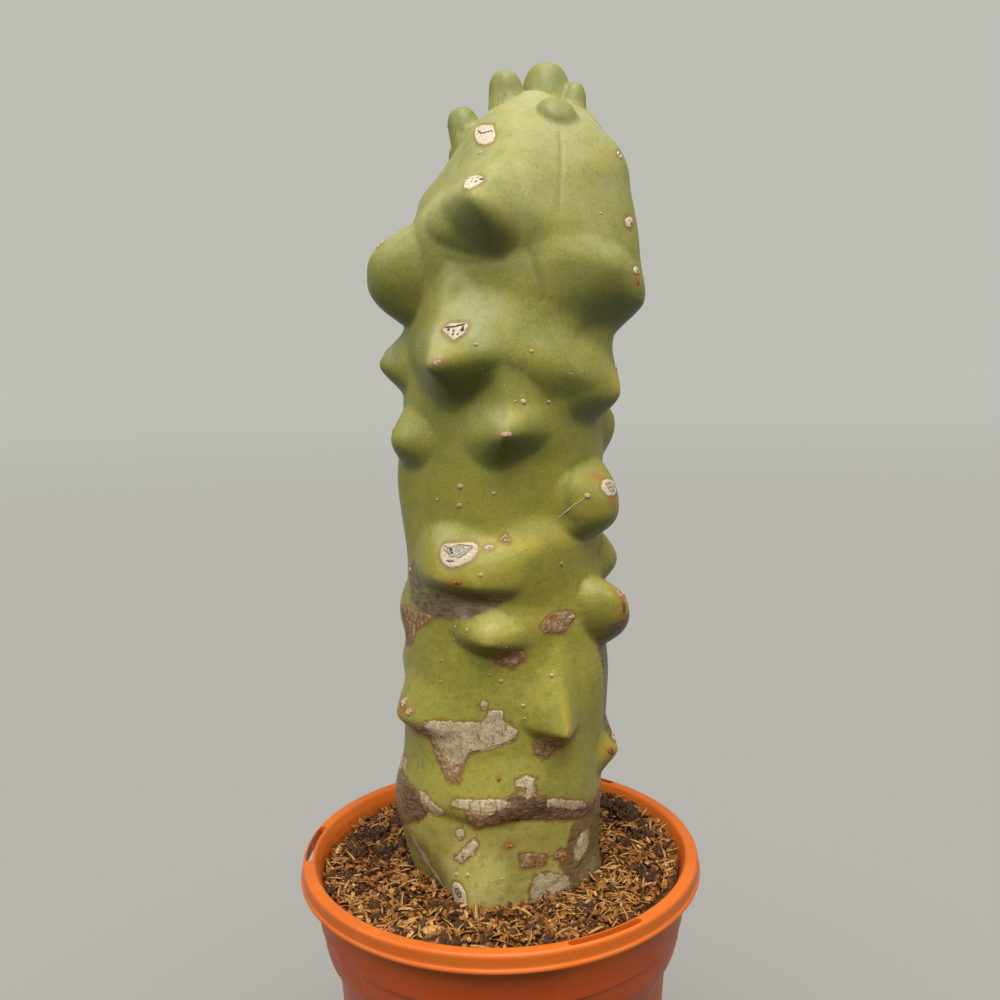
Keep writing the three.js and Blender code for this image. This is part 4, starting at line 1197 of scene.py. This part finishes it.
def speck_material():
    """Tiny warts of cork on the skin: dry and pale, a few of them pink."""
    return plain_material("Cork speck", "b9b47c", [
        ("tone", 1, 0.2, 0.05, 0.3, 1, "cbbb92"), ("tone", 1, 0.2, 0.4, 0.8, 1, "c4967a"),
        ("", 0.6, 1, 0.05, 0.2, 0.6, "8f7a4c"),
    ], 0.7, [("", 0.5, 0.15)])


def rim_height():
    """Height of the pot's rim in millimetres."""
    return bpy.context.scene.cactus_pot.height / MM


def pot_inside(height):
    """Radius of the inside of the pot's wall at heights above the ground."""
    wall = [(radius, rim_height() - below) for radius, below in POT_INSIDE]
    radii, heights = np.array(wall + [(POT_FLOOR_RADIUS, POT_FLOOR_TOP)])[::-1].T
    return np.interp(height, heights, radii)


def circle(x, y, radius, count):
    """Points of a circle, run anticlockwise."""
    turn = np.linspace(0, 2 * math.pi, count, endpoint=False)
    return [(x + radius * math.cos(a), y + radius * math.sin(a)) for a in turn]


def prism(outline, low, high):
    """Closed block over an outline, run anticlockwise, to cut with."""
    count = len(outline)
    points = [(x, y, z) for z in (low, high) for x, y in outline]
    faces = rows_to_faces(2, count) + [range(count - 1, -1, -1), range(count, 2 * count)]
    return mesh_object("cutter", points, faces)


def slot_outline(angle):
    """A curved slot with round ends, along the flange about an angle."""
    middle, half = np.mean(SLOT_RADII), np.diff(SLOT_RADII)[0] / 2
    outline = []
    for sign, start in ((1, 0), (-1, math.pi)):
        side = middle + sign * half
        arc = np.radians(angle + sign * np.linspace(-SLOT_SPAN, SLOT_SPAN, SLOT_STEPS) / 2)
        outline += [(side * math.cos(a), side * math.sin(a)) for a in arc]
        x, y = middle * math.cos(arc[-1]), middle * math.sin(arc[-1])
        ways = [arc[-1] + turn + start for turn in np.linspace(0, math.pi, SLOT_END_STEPS)[1:-1]]
        outline += [(x + half * math.cos(way), y + half * math.sin(way)) for way in ways]
    return outline


def build_pot():
    """The pot as one turned shell, with its slots and drainage holes cut."""
    rim = rim_height()
    profile = list(POT_FOOT)
    for part in (POT_OUTSIDE, POT_FLANGE, POT_INSIDE):
        profile += [(radius, rim - below) for radius, below in part]
    profile = eased(profile + [(POT_FLOOR_RADIUS, POT_FLOOR_TOP), (0, POT_FLOOR_TOP)], CORNER_ROUNDING)
    turn = 2 * np.pi * np.arange(POT_SIDES) / POT_SIDES
    rows = [[(r * math.cos(a), r * math.sin(a), z) for a in turn] for r, z in profile[1:-1]]
    ends = [(0, 0, profile[i][1]) for i in (0, -1)]
    piece = mesh_object("pot_shell", *closed_rows(rows, *ends), plastic_material())
    cutters = [prism(slot_outline(angle), rim - SLOT_DEPTH, rim + 1) for angle in SLOT_ANGLES]
    for x, y in [(0, 0)] + circle(0, 0, DRAIN_CIRCLE, DRAIN_COUNT):
        cutters.append(prism(circle(x, y, DRAIN_RADIUS, DRAIN_SIDES), -1, POT_FLOOR_TOP + 3))
    for cutter in cutters:
        modifier = piece.modifiers.new("cut", "BOOLEAN")
        modifier.operation = "DIFFERENCE"
        modifier.solver = "EXACT"
        modifier.object = cutter
    mesh = baked(piece).data
    dismiss(cutters)
    mesh.polygons.foreach_set("use_smooth", [True] * len(mesh.polygons))
    mesh.set_sharp_from_angle(angle=math.radians(SHARP_ANGLE))
    radius = np.array([vertex.co.to_2d().length for vertex in mesh.vertices]) / MM
    height = np.array([vertex.co.z for vertex in mesh.vertices]) / MM
    inner = np.clip(1 - (radius - pot_inside(height)) / 0.5, 0, 1) * (height < rim - 2)
    # the wall below the flange, painted a darker orange in the material as shade under the flange
    wall = (1 - inner) * (height < rim - 7)
    store(piece, {"inner": inner, "wall": wall})
    settle(piece, "pot")


def plastic_material():
    """Polypropylene, injection moulded: satin orange, painted a deeper, darker orange below the flange
    as shade, with a very fine moulded grain, faint scuffs and a film of compost dust on the inside."""
    material, tree, place = new_material("Moulded polypropylene")
    settings = bpy.context.scene.cactus_pot
    upright = add(tree, "ShaderNodeVectorMath", {0: place, 1: (1, 1, 0.12)}, operation="MULTIPLY")
    plastic = add(tree, "ShaderNodeRGB")
    plastic.default_value = settings.colour
    plastic = layered(tree, place, plastic, [
        ("", 30, 1, -0.06, 0.15, 0.3, "c05a20"),
        # painted shade: the wall below the flange is painted a deeper, darker orange than the rim, as if in
        # the flange's shadow
        ("wall", 20, 0.3, 0.1, 0.8, 0.85, "d4541a"),
        ("inner", 2.5, 1.4, 0.9, 1.5, 0.6, "6b3f26"),
    ])
    plastic = layered(tree, upright, plastic, [("", 4, 1, 0.12, 0.24, 0.16, "e8a070")])
    scuffs = add(tree, "ShaderNodeTexNoise", {"Vector": place, "Scale": per_mm(8), "Detail": 6.0})
    scuffs = add(tree, "ShaderNodeMapRange", {0: scuffs, 1: 0.35, 2: 0.7, 3: 0.36, 4: 0.52})
    surface(tree, plastic, scuffs, rough_relief(tree, place, [("", 0.5, 0.02)]), 1.49)
    return material


def soil_top(place):
    """Height of the compost at places across the pot."""
    x, y = place[..., 0], place[..., 1]
    heaps = np.sin(0.21 * x + 1.3) * np.sin(0.24 * y + 0.4)
    crumbs = np.sin(0.62 * x + 0.35 * y) * np.sin(0.57 * y - 0.31 * x + 1.7)
    return soil_level() + SOIL_SLOPE * x + HEAP_HEIGHT * (0.6 * heaps + 0.5 * crumbs)


def soil_level():
    """Height of the compost's top in millimetres, without its heaps."""
    return rim_height() - bpy.context.scene.cactus_soil.depth / MM


def stem_reach(angles):
    """Distance from the hole's middle to the stem where it enters the compost."""
    around = np.linspace(-180, 180, ENTRY_STEPS, endpoint=False)
    section = on_stem(around, np.full(ENTRY_STEPS, -SOIL_DEPTH))
    away = section[:, :2] - HOLE_CENTRE
    turn = np.arctan2(away[:, 1], away[:, 0])
    order = np.argsort(turn)
    return np.interp(angles, turn[order], np.hypot(*away.T)[order], period=2 * np.pi)


def wall_reach(angles, radius):
    """Distance from the hole's middle to a circle round the pot's axis."""
    along = np.cos(angles) * HOLE_CENTRE[0] + np.sin(angles) * HOLE_CENTRE[1]
    return np.sqrt(along**2 + radius**2 - HOLE_CENTRE @ HOLE_CENTRE) - along


def round_hole(angles, reach):
    """Places at a reach from the hole's middle."""
    way = np.stack([np.cos(angles), np.sin(angles)], -1)
    return HOLE_CENTRE + way * reach[..., None]


def soil_rings(sides, rings, from_stem, from_wall):
    """Rows of places across the compost, from the pot's wall to the stem."""
    angles = 2 * np.pi * np.arange(sides) / sides
    outer = wall_reach(angles, float(pot_inside(soil_level())) - from_wall)
    inner = stem_reach(angles) + from_stem
    share = np.linspace(0, 1, rings + 1)[:, None]
    return round_hole(angles, outer + (inner - outer) * share)


def build_bed():
    """The compost as one plug, with its rough top and the plain hole that the stem stands in."""
    rim, level = rim_height(), soil_level()
    angles = 2 * np.pi * np.arange(BED_SIDES) / BED_SIDES
    top = soil_rings(BED_SIDES, BED_RINGS, 0.15, SOIL_GAP)
    flat = np.concatenate([top, np.zeros((*top.shape[:-1], 1))], -1)
    height = soil_top(top) + 0.9 * crumble(flat, 5, 3) + 0.8 * crumble(flat, 2.2, 1)
    height += 0.4 * crumble(flat, 1.1, 5)
    # the pot's wall bends at most of these heights
    wall = [
        (wall_reach(angles, float(pot_inside(z)) - SOIL_GAP), z)
        for z in (POT_FLOOR_TOP, 40, rim - 42, rim - 34.2, rim - 27, rim - 21, rim - 12, level - 3)
    ]
    hole = [
        (stem_reach(angles) + gap, z)
        for gap, z in ((0.8, level - 4), (1.2, level - 12), (1.2, rim - HOLE_DEPTH))
    ]
    below, within = [
        [np.column_stack([round_hole(angles, reach), np.full(BED_SIDES, z)]) for reach, z in side]
        for side in (wall, hole)
    ]
    rows = [*below, *np.concatenate([top, height[..., None]], -1), *within]
    ends = (0, 0, POT_FLOOR_TOP), (*HOLE_CENTRE, rim - HOLE_DEPTH)
    settle(mesh_object("compost_bed", *closed_rows(rows, *ends), compost_material()), "soil")


def compost_material():
    """Moist peat and coir dust under the crumbs: dark brown, rough and without gloss."""
    return plain_material("Peat and coir compost", "3e2713", [
        ("", 2.5, 1, -0.08, 0.1, 1, "694325"), ("", 1.2, 1, 0.02, 0.2, 1, "946335"),
    ], 0.95, [("", 1.2, 0.8)], 1.4)


def coir_shapes():
    """Splinters of coir, of length 1, from straight to a little bent: points and faces of a few forms."""
    chance = np.random.default_rng(2)
    count = 4
    for k in range(FORMS):
        bend, lift = chance.normal(0, 0.25), chance.uniform(0, 0.12)
        thick, flat = chance.uniform(0.03, 0.11), chance.uniform(0.3, 0.9)
        points = []
        for t in np.linspace(0, 1, count + 1):
            middle = np.array([t - 0.5, bend * (t - 0.5) ** 2, lift * math.sin(math.pi * t)])
            half = thick * (0.3 + 0.7 * math.sin(math.pi * min(1, 0.1 + 0.8 * t)) ** 0.6)
            for j in range(3):
                a = k + 0.9 * t + 2 * math.pi * j / 3
                points.append(middle + half * np.array([0, math.cos(a), math.sin(a) * flat]))
        yield points, rows_to_faces(count + 1, 3) + [(0, 2, 1), (3 * count, 3 * count + 1, 3 * count + 2)]


def crumb_shapes(flatness):
    """Angular crumbs, 1 across, or flakes where the flatness is small: points and faces of a few forms."""
    chance = np.random.default_rng(3)
    for _ in range(FORMS):
        points, faces = ball(1)
        for way in chance.normal(size=(5, 3)):
            way /= np.linalg.norm(way)
            points -= np.maximum(0, points @ way - chance.uniform(0.3, 0.7))[:, None] * way
        stretch = 0.5 * chance.uniform(0.4, 1.4, 3) * (1, 1, flatness)
        yield points * stretch * chance.uniform(0.75, 1.2, len(points))[:, None], faces


def ball(subdivisions):
    """Points and faces of a ball of radius 1."""
    solid = bmesh.new()
    bmesh.ops.create_icosphere(solid, subdivisions=subdivisions, radius=1)
    solid.verts.index_update()
    points = np.array([tuple(vertex.co) for vertex in solid.verts])
    faces = [[vertex.index for vertex in face.verts] for face in solid.faces]
    solid.free()
    return points, faces


def shape_store(name, shapes, smooth=False):
    """Collection of helper shapes, each with its faces turned outwards."""
    collection = bpy.data.collections.new(name)
    for points, faces in shapes:
        mesh = bpy.data.meshes.new(name)
        mesh.from_pydata([tuple(p) for p in points], [], [tuple(f) for f in faces])
        solid = bmesh.new()
        solid.from_mesh(mesh)
        bmesh.ops.recalc_face_normals(solid, faces=solid.faces)
        solid.to_mesh(mesh)
        solid.free()
        mesh.polygons.foreach_set("use_smooth", [smooth] * len(mesh.polygons))
        collection.objects.link(bpy.data.objects.new(name, mesh))
    return collection


def keep_in_pot(piece):
    """Moves what pokes into the stem or through the pot's wall back to the surface there."""
    mesh = piece.data
    flat = np.zeros(len(mesh.vertices) * 3)
    mesh.vertices.foreach_get("co", flat)
    points = flat.reshape(-1, 3) / MM
    angles = 2 * np.pi * np.arange(360) / 360
    away = points[:, :2] - HOLE_CENTRE
    reach = np.hypot(*away.T)
    turn = np.arctan2(away[:, 1], away[:, 0])
    least = np.interp(turn, angles, stem_reach(angles), period=2 * np.pi) + SCATTER_STEM_GAP
    points[:, :2] = HOLE_CENTRE + away * np.maximum(1, least / np.maximum(reach, 1e-6))[:, None]
    radius = np.hypot(points[:, 0], points[:, 1])
    most = pot_inside(points[:, 2]) - SCATTER_WALL_GAP
    points[:, :2] *= np.minimum(1, most / np.maximum(radius, 1e-6))[:, None]
    mesh.vertices.foreach_set("co", (points * MM).ravel())
    mesh.update()


def build_scatter():
    """Coir fibres and flakes, crumbs of peat and bark, clods and a wood chip over the compost."""
    settings = bpy.context.scene.cactus_soil
    tree = scatter_tree()
    coir, peat, bark = coir_material(), crumb_material(), bark_material()
    places = soil_rings(SCATTER_SIDES, SCATTER_RINGS, 0.6, 1.1)
    ground = np.concatenate([places, soil_top(places)[..., None]], -1).reshape(-1, 3)
    ground_faces = rows_to_faces(SCATTER_RINGS + 1, SCATTER_SIDES)
    splinters = shape_store("coir_shapes", coir_shapes(), smooth=True)
    crumbs = shape_store("crumb_shapes", crumb_shapes(1))
    flakes = shape_store("flake_shapes", crumb_shapes(0.3))
    many = settings.crumb_density
    # name, shapes, material, density, smallest, largest, crowding of small ones, lean, pile, drift
    kinds = [
        ("coir_fibres", splinters, coir, settings.fibre_density, 1.2, 7.5, 2.8, 0.6, 2.2, 0.75),
        ("coir_flakes", flakes, coir, 0.9 * settings.fibre_density, 0.7, 3.2, 2.2, 1.2, 2.4, 0.6),
        ("peat_crumbs", crumbs, peat, many, 0.7, 3.4, 2.4, 3, 2.2, 0.3),
        ("bark_crumbs", crumbs, bark, 0.3 * many, 1.2, 6, 2.0, 3, 2, 0.8),
    ]
    for seed, kind in enumerate(kinds, settings.seed):
        name, shapes, material, density, small, large, crowd, lean, pile, drift = kind
        piece = grown(mesh_object(name, ground, ground_faces), tree, {
            "Shapes": shapes, "Density": density, "Smallest": small * MM, "Largest": large * MM,
            "Crowd": crowd, "Lean": lean, "Pile": pile * MM, "Drift": drift, "Seed": seed,
            "Material": material,
        })
        keep_in_pot(piece)
        settle(piece)
    for collection in (splinters, crumbs, flakes):
        dismiss(list(collection.objects))
        bpy.data.collections.remove(collection)
    build_clods(bark)
    build_chip(coir)


def build_clods(material):
    """Larger clods, half sunk in the compost."""
    clods = []
    for k, (x, y, wide, proud) in enumerate(CLODS):
        points, faces = ball(4)
        lumps = 1 + 0.4 * crumble(points, 0.7, 3 * k) + 0.6 * crumble(points, 0.3, k)
        lumps += 0.4 * crumble(points, 0.14, k + 9)
        tall = 0.5 * proud + 1.2
        turn = np.array(Matrix.Rotation(1.3 * k, 3, "Z"))
        points = points * lumps[:, None] * (0.5 * wide, 0.4 * wide, tall) @ turn
        points += (x, y, soil_top(np.array([x, y])) + proud - tall)
        clods.append((points, faces, {"tone": np.full(len(points), (k * 0.37) % 0.7)}))
    piece = joined("peat_clods", clods, material)
    keep_in_pot(piece)
    settle(piece)


def build_chip(material):
    """One blunt chip of pale wood near the front of the pot."""
    x, y, wide = WOOD_CHIP
    points, faces = ball(4)
    points = np.sign(points) * np.abs(points) ** 0.7 * (1 + 0.25 * crumble(points, 0.6)[:, None])
    points = points * (0.5 * wide, 0.34 * wide, 1.3) + (x, y, soil_top(np.array([x, y])) + 2)
    settle(joined("wood_chip", [(points, faces, {"tone": np.full(len(points), 0.95)})], material))


def coir_material():
    """Dry coconut fibre and split straw: golden to brown, with a faint sheen along the strand."""
    return plain_material("Coir fibre", "66401c", [
        ("tone", 1, 0, 0.12, 0.45, 1, "9a6026"), ("tone", 1, 0, 0.45, 0.8, 1, "c0863e"),
        ("tone", 1, 0, 0.82, 1, 1, "d2a664"), ("", 1.2, 1, -0.02, 0.2, 0.6, "6a441e"),
    ], 0.7, [("", 0.4, 0.15)], 1.5)


def crumb_material():
    """Crumbs of peat and decayed bark: brown in many tones, dull."""
    return plain_material("Peat crumb", "311e0e", [
        ("tone", 1, 0.4, 0.2, 0.6, 1, "6b4420"), ("tone", 1, 0.4, 0.6, 0.95, 1, "9a6330"),
        ("tone", 1, 0.4, 0.92, 1.1, 1, "bd8546"),
    ], 0.9, [("", 0.6, 0.4)], 1.4)


def bark_material():
    """Composted bark, nearly black, with brown fibres in it and a slight damp gloss."""
    return plain_material("Composted bark", "24170d", [
        ("", 1.3, 1, -0.1, 0.08, 1, "472d18"), ("", 1.0, 1, 0.0, 0.16, 1, "7a4f28"),
        ("tone", 1, 0.3, 0.5, 1, 0.6, "573719"),
    ], 0.8, [("", 1.0, 0.9)])


def build_stage():
    """Pale floor, soft studio light, and the camera of the photograph."""
    settings = bpy.context.scene.cactus_stage
    half = settings.floor_size / MM / 2
    corners = [(-half, -half, 0), (half, -half, 0), (half, half, 0), (-half, half, 0)]
    # painted board, matt and pale, and a little paler far from the pot
    material, tree, place = new_material("Pale painted board")
    distance = add(tree, "ShaderNodeVectorMath", {0: place}, 1, operation="LENGTH")
    distance = add(tree, "ShaderNodeMapRange", {0: distance, 1: 0.3, 2: 6.0}, interpolation_type="SMOOTHSTEP")
    near, far = colour("c8c6bd"), colour("cfcfc8")
    surface(tree, add(tree, "ShaderNodeMix", {0: distance, 6: near, 7: far}, 2, data_type="RGBA"), 0.8)
    floor = mesh_object("floor", corners, [(0, 1, 2, 3)], material, False)
    floor.visible_diffuse = False
    # the softboxes light all but the floor, which has a light of its own
    room = bpy.data.collections.new("floor_light")
    room.objects.link(floor)
    subject = bpy.data.collections.new("subject_light")
    subject.objects.link(floor)
    subject.collection_objects[0].light_linking.link_state = "EXCLUDE"
    for name, (place, width, power, tint) in SOFTBOXES.items():
        lamp = new_lamp(name, "AREA", power * settings.light, subject)
        lamp.data.shape = "DISK"
        lamp.data.size = width
        lamp.data.color = colour(tint)[:3]
        lamp.location = place
        lamp.rotation_euler = (Vector(LIGHT_TARGET) - Vector(place)).to_track_quat("-Z", "Y").to_euler()
    new_lamp("floor_sky", "SUN", settings.floor_light, room).data.angle = math.radians(SKY_ANGLE)
    set_world(settings)
    set_camera(settings)
    bpy.context.scene.view_settings.view_transform = "Standard"


def new_lamp(name, kind, energy, receivers):
    """A light, with the collection that says what it falls on."""
    light = bpy.data.lights.new(name, kind)
    light.energy = energy
    lamp = bpy.data.objects.new(name, light)
    lamp.light_linking.receiver_collection = receivers
    bpy.context.scene.collection.objects.link(lamp)
    return lamp


def set_world(settings):
    """A pale even surround for the eye and in reflections, and a dim one for the rest of the light, so
    that the hollows stay deep."""
    world = bpy.data.worlds.new("studio")
    world.use_nodes = True
    tree = world.node_tree
    tree.nodes.clear()
    seen = add(tree, "ShaderNodeLightPath", output="Is Camera Ray")
    mirrored = add(tree, "ShaderNodeLightPath", output="Is Glossy Ray")
    mirrored = add(tree, "ShaderNodeMath", {0: mirrored, 1: settings.sheen}, operation="MULTIPLY")
    share = add(tree, "ShaderNodeMath", {0: seen, 1: mirrored}, operation="MAXIMUM")
    dim = add(tree, "ShaderNodeBackground", {"Color": settings.surround, "Strength": settings.spill})
    pale = add(tree, "ShaderNodeBackground", {"Color": settings.surround, "Strength": 1.0})
    both = add(tree, "ShaderNodeMixShader", {0: share, 1: dim, 2: pale})
    add(tree, "ShaderNodeOutputWorld", {"Surface": both})
    bpy.context.scene.world = world


def set_camera(settings):
    """The photograph's camera, with its tilt and its slight roll."""
    camera = bpy.data.cameras.new("camera")
    camera.sensor_width = 36
    camera.lens = settings.lens
    camera.clip_start = 0.01
    pitch, roll, yaw = [math.radians(angle) for angle in (CAMERA_PITCH, CAMERA_ROLL, CAMERA_YAW)]
    ahead = Vector((math.sin(yaw) * math.cos(pitch), math.cos(yaw) * math.cos(pitch), -math.sin(pitch)))
    right = Vector((math.cos(yaw), -math.sin(yaw), 0))
    up = right.cross(ahead)
    rolled_right = math.cos(roll) * right + math.sin(roll) * up
    rolled_up = math.cos(roll) * up - math.sin(roll) * right
    rows = (rolled_right, rolled_up, -ahead)
    seat = bpy.data.objects.new("camera", camera)
    place = Matrix.Translation((0, -settings.distance, settings.eye_height))
    seat.matrix_world = place @ Matrix(rows).transposed().to_4x4()
    bpy.context.scene.collection.objects.link(seat)
    bpy.context.scene.camera = seat


class CactusPotSettings(PropertyGroup):
    height: FloatProperty(
        name="Height", description="Height of the pot from the ground to its rim", default=POT_HEIGHT,
        unit="LENGTH")
    colour: FloatVectorProperty(
        name="Plastic", description="Colour of the plastic", size=4, subtype="COLOR", min=0, max=1,
        default=colour("ea7620"))


class CactusSoilSettings(PropertyGroup):
    depth: FloatProperty(
        name="Depth", description="Distance of the compost below the rim", default=SOIL_DEPTH * MM,
        unit="LENGTH")
    fibre_density: FloatProperty(
        name="Fibres", description="Coir fibres for each square metre", default=640000, min=0)
    crumb_density: FloatProperty(
        name="Crumbs", description="Crumbs for each square metre", default=620000, min=0)
    seed: IntProperty(name="Seed", description="Chance of the scatter", default=5)


class CactusStemSettings(PropertyGroup):
    speck_count: IntProperty(
        name="Specks", description="Small specks strewn over the skin", default=110, min=0)
    speck_seed: IntProperty(name="Seed", description="Chance of the specks", default=21)


class CactusStageSettings(PropertyGroup):
    floor_size: FloatProperty(name="Floor", description="Side of the floor", default=60.0, unit="LENGTH")
    surround: FloatVectorProperty(
        name="Surround", description="Colour of the room", size=4, subtype="COLOR", min=0, max=1,
        default=colour("bdbdb6"))
    spill: FloatProperty(
        name="Spill", description="Share of the room's light that falls on the plant", default=0.05, min=0)
    sheen: FloatProperty(
        name="Sheen", description="Share of the room's light in reflections", default=0.8, min=0, max=1)
    light: FloatProperty(name="Light", description="Strength of the softboxes", default=1.0, min=0)
    floor_light: FloatProperty(
        name="Floor light", description="Strength of the light on the floor", default=2.4, min=0)
    lens: FloatProperty(name="Lens", description="Focal length", default=36, min=1, unit="CAMERA")
    distance: FloatProperty(
        name="Distance", description="From the camera to the pot's axis", default=0.3374, unit="LENGTH")
    eye_height: FloatProperty(
        name="Eye height", description="Height of the camera above the floor", default=0.2828, unit="LENGTH")


class CACTUS_OT_pot(Operator):
    """Builds the nursery pot"""
    bl_idname = "cactus.pot"
    bl_label = "Build the pot"

    def execute(self, context):
        build_pot()
        return {"FINISHED"}


class CACTUS_OT_compost(Operator):
    """Fills the pot with compost and strews coir, crumbs and clods over it"""
    bl_idname = "cactus.compost"
    bl_label = "Fill with compost"

    def execute(self, context):
        build_bed()
        build_scatter()
        return {"FINISHED"}


class CACTUS_OT_stem(Operator):
    """Grows the stem with its skin and cork"""
    bl_idname = "cactus.stem"
    bl_label = "Grow the stem"

    def execute(self, context):
        build_stem()
        return {"FINISHED"}


class CACTUS_OT_marks(Operator):
    """Sets the areoles, scabs and dots on the skin"""
    bl_idname = "cactus.marks"
    bl_label = "Set the areoles and scabs"

    def execute(self, context):
        settings = context.scene.cactus_stem
        build_areoles()
        build_scabs()
        build_dots(settings.speck_count, settings.speck_seed)
        return {"FINISHED"}


class CACTUS_OT_stage(Operator):
    """Sets the floor, the light and the camera"""
    bl_idname = "cactus.stage"
    bl_label = "Set the stage"

    def execute(self, context):
        build_stage()
        return {"FINISHED"}


class CACTUS_PT_panel(Panel):
    """Sizes and steps of the potted cactus"""
    bl_idname = "CACTUS_PT_panel"
    bl_label = "Potted cactus"
    bl_space_type = "VIEW_3D"
    bl_region_type = "UI"
    bl_category = "Cactus"

    def draw(self, context):
        scene = context.scene
        for settings, steps in (
            (scene.cactus_pot, ("cactus.pot",)),
            (scene.cactus_soil, ("cactus.compost",)),
            (scene.cactus_stem, ("cactus.stem", "cactus.marks")),
            (scene.cactus_stage, ("cactus.stage",)),
        ):
            box = self.layout.box()
            for name in settings.__annotations__:
                box.prop(settings, name)
            for step in steps:
                box.operator(step)


SETTINGS = {
    "cactus_pot": CactusPotSettings,
    "cactus_soil": CactusSoilSettings,
    "cactus_stem": CactusStemSettings,
    "cactus_stage": CactusStageSettings,
}
TOOLS = (CACTUS_OT_pot, CACTUS_OT_compost, CACTUS_OT_stem, CACTUS_OT_marks, CACTUS_OT_stage, CACTUS_PT_panel)


def register():
    """Adds the settings and the tools."""
    for name, group in SETTINGS.items():
        bpy.utils.register_class(group)
        setattr(bpy.types.Scene, name, PointerProperty(type=group))
    for tool in TOOLS:
        bpy.utils.register_class(tool)


def unregister():
    """Takes the settings and the tools away."""
    for tool in reversed(TOOLS):
        bpy.utils.unregister_class(tool)
    for name, group in SETTINGS.items():
        delattr(bpy.types.Scene, name)
        bpy.utils.unregister_class(group)


def main():
    """Builds the pieces and the stage."""
    register()
    bpy.ops.cactus.pot()
    bpy.ops.cactus.compost()
    bpy.ops.cactus.stem()
    bpy.ops.cactus.marks()
    bpy.ops.cactus.stage()


if __name__ == "__main__":
    main()
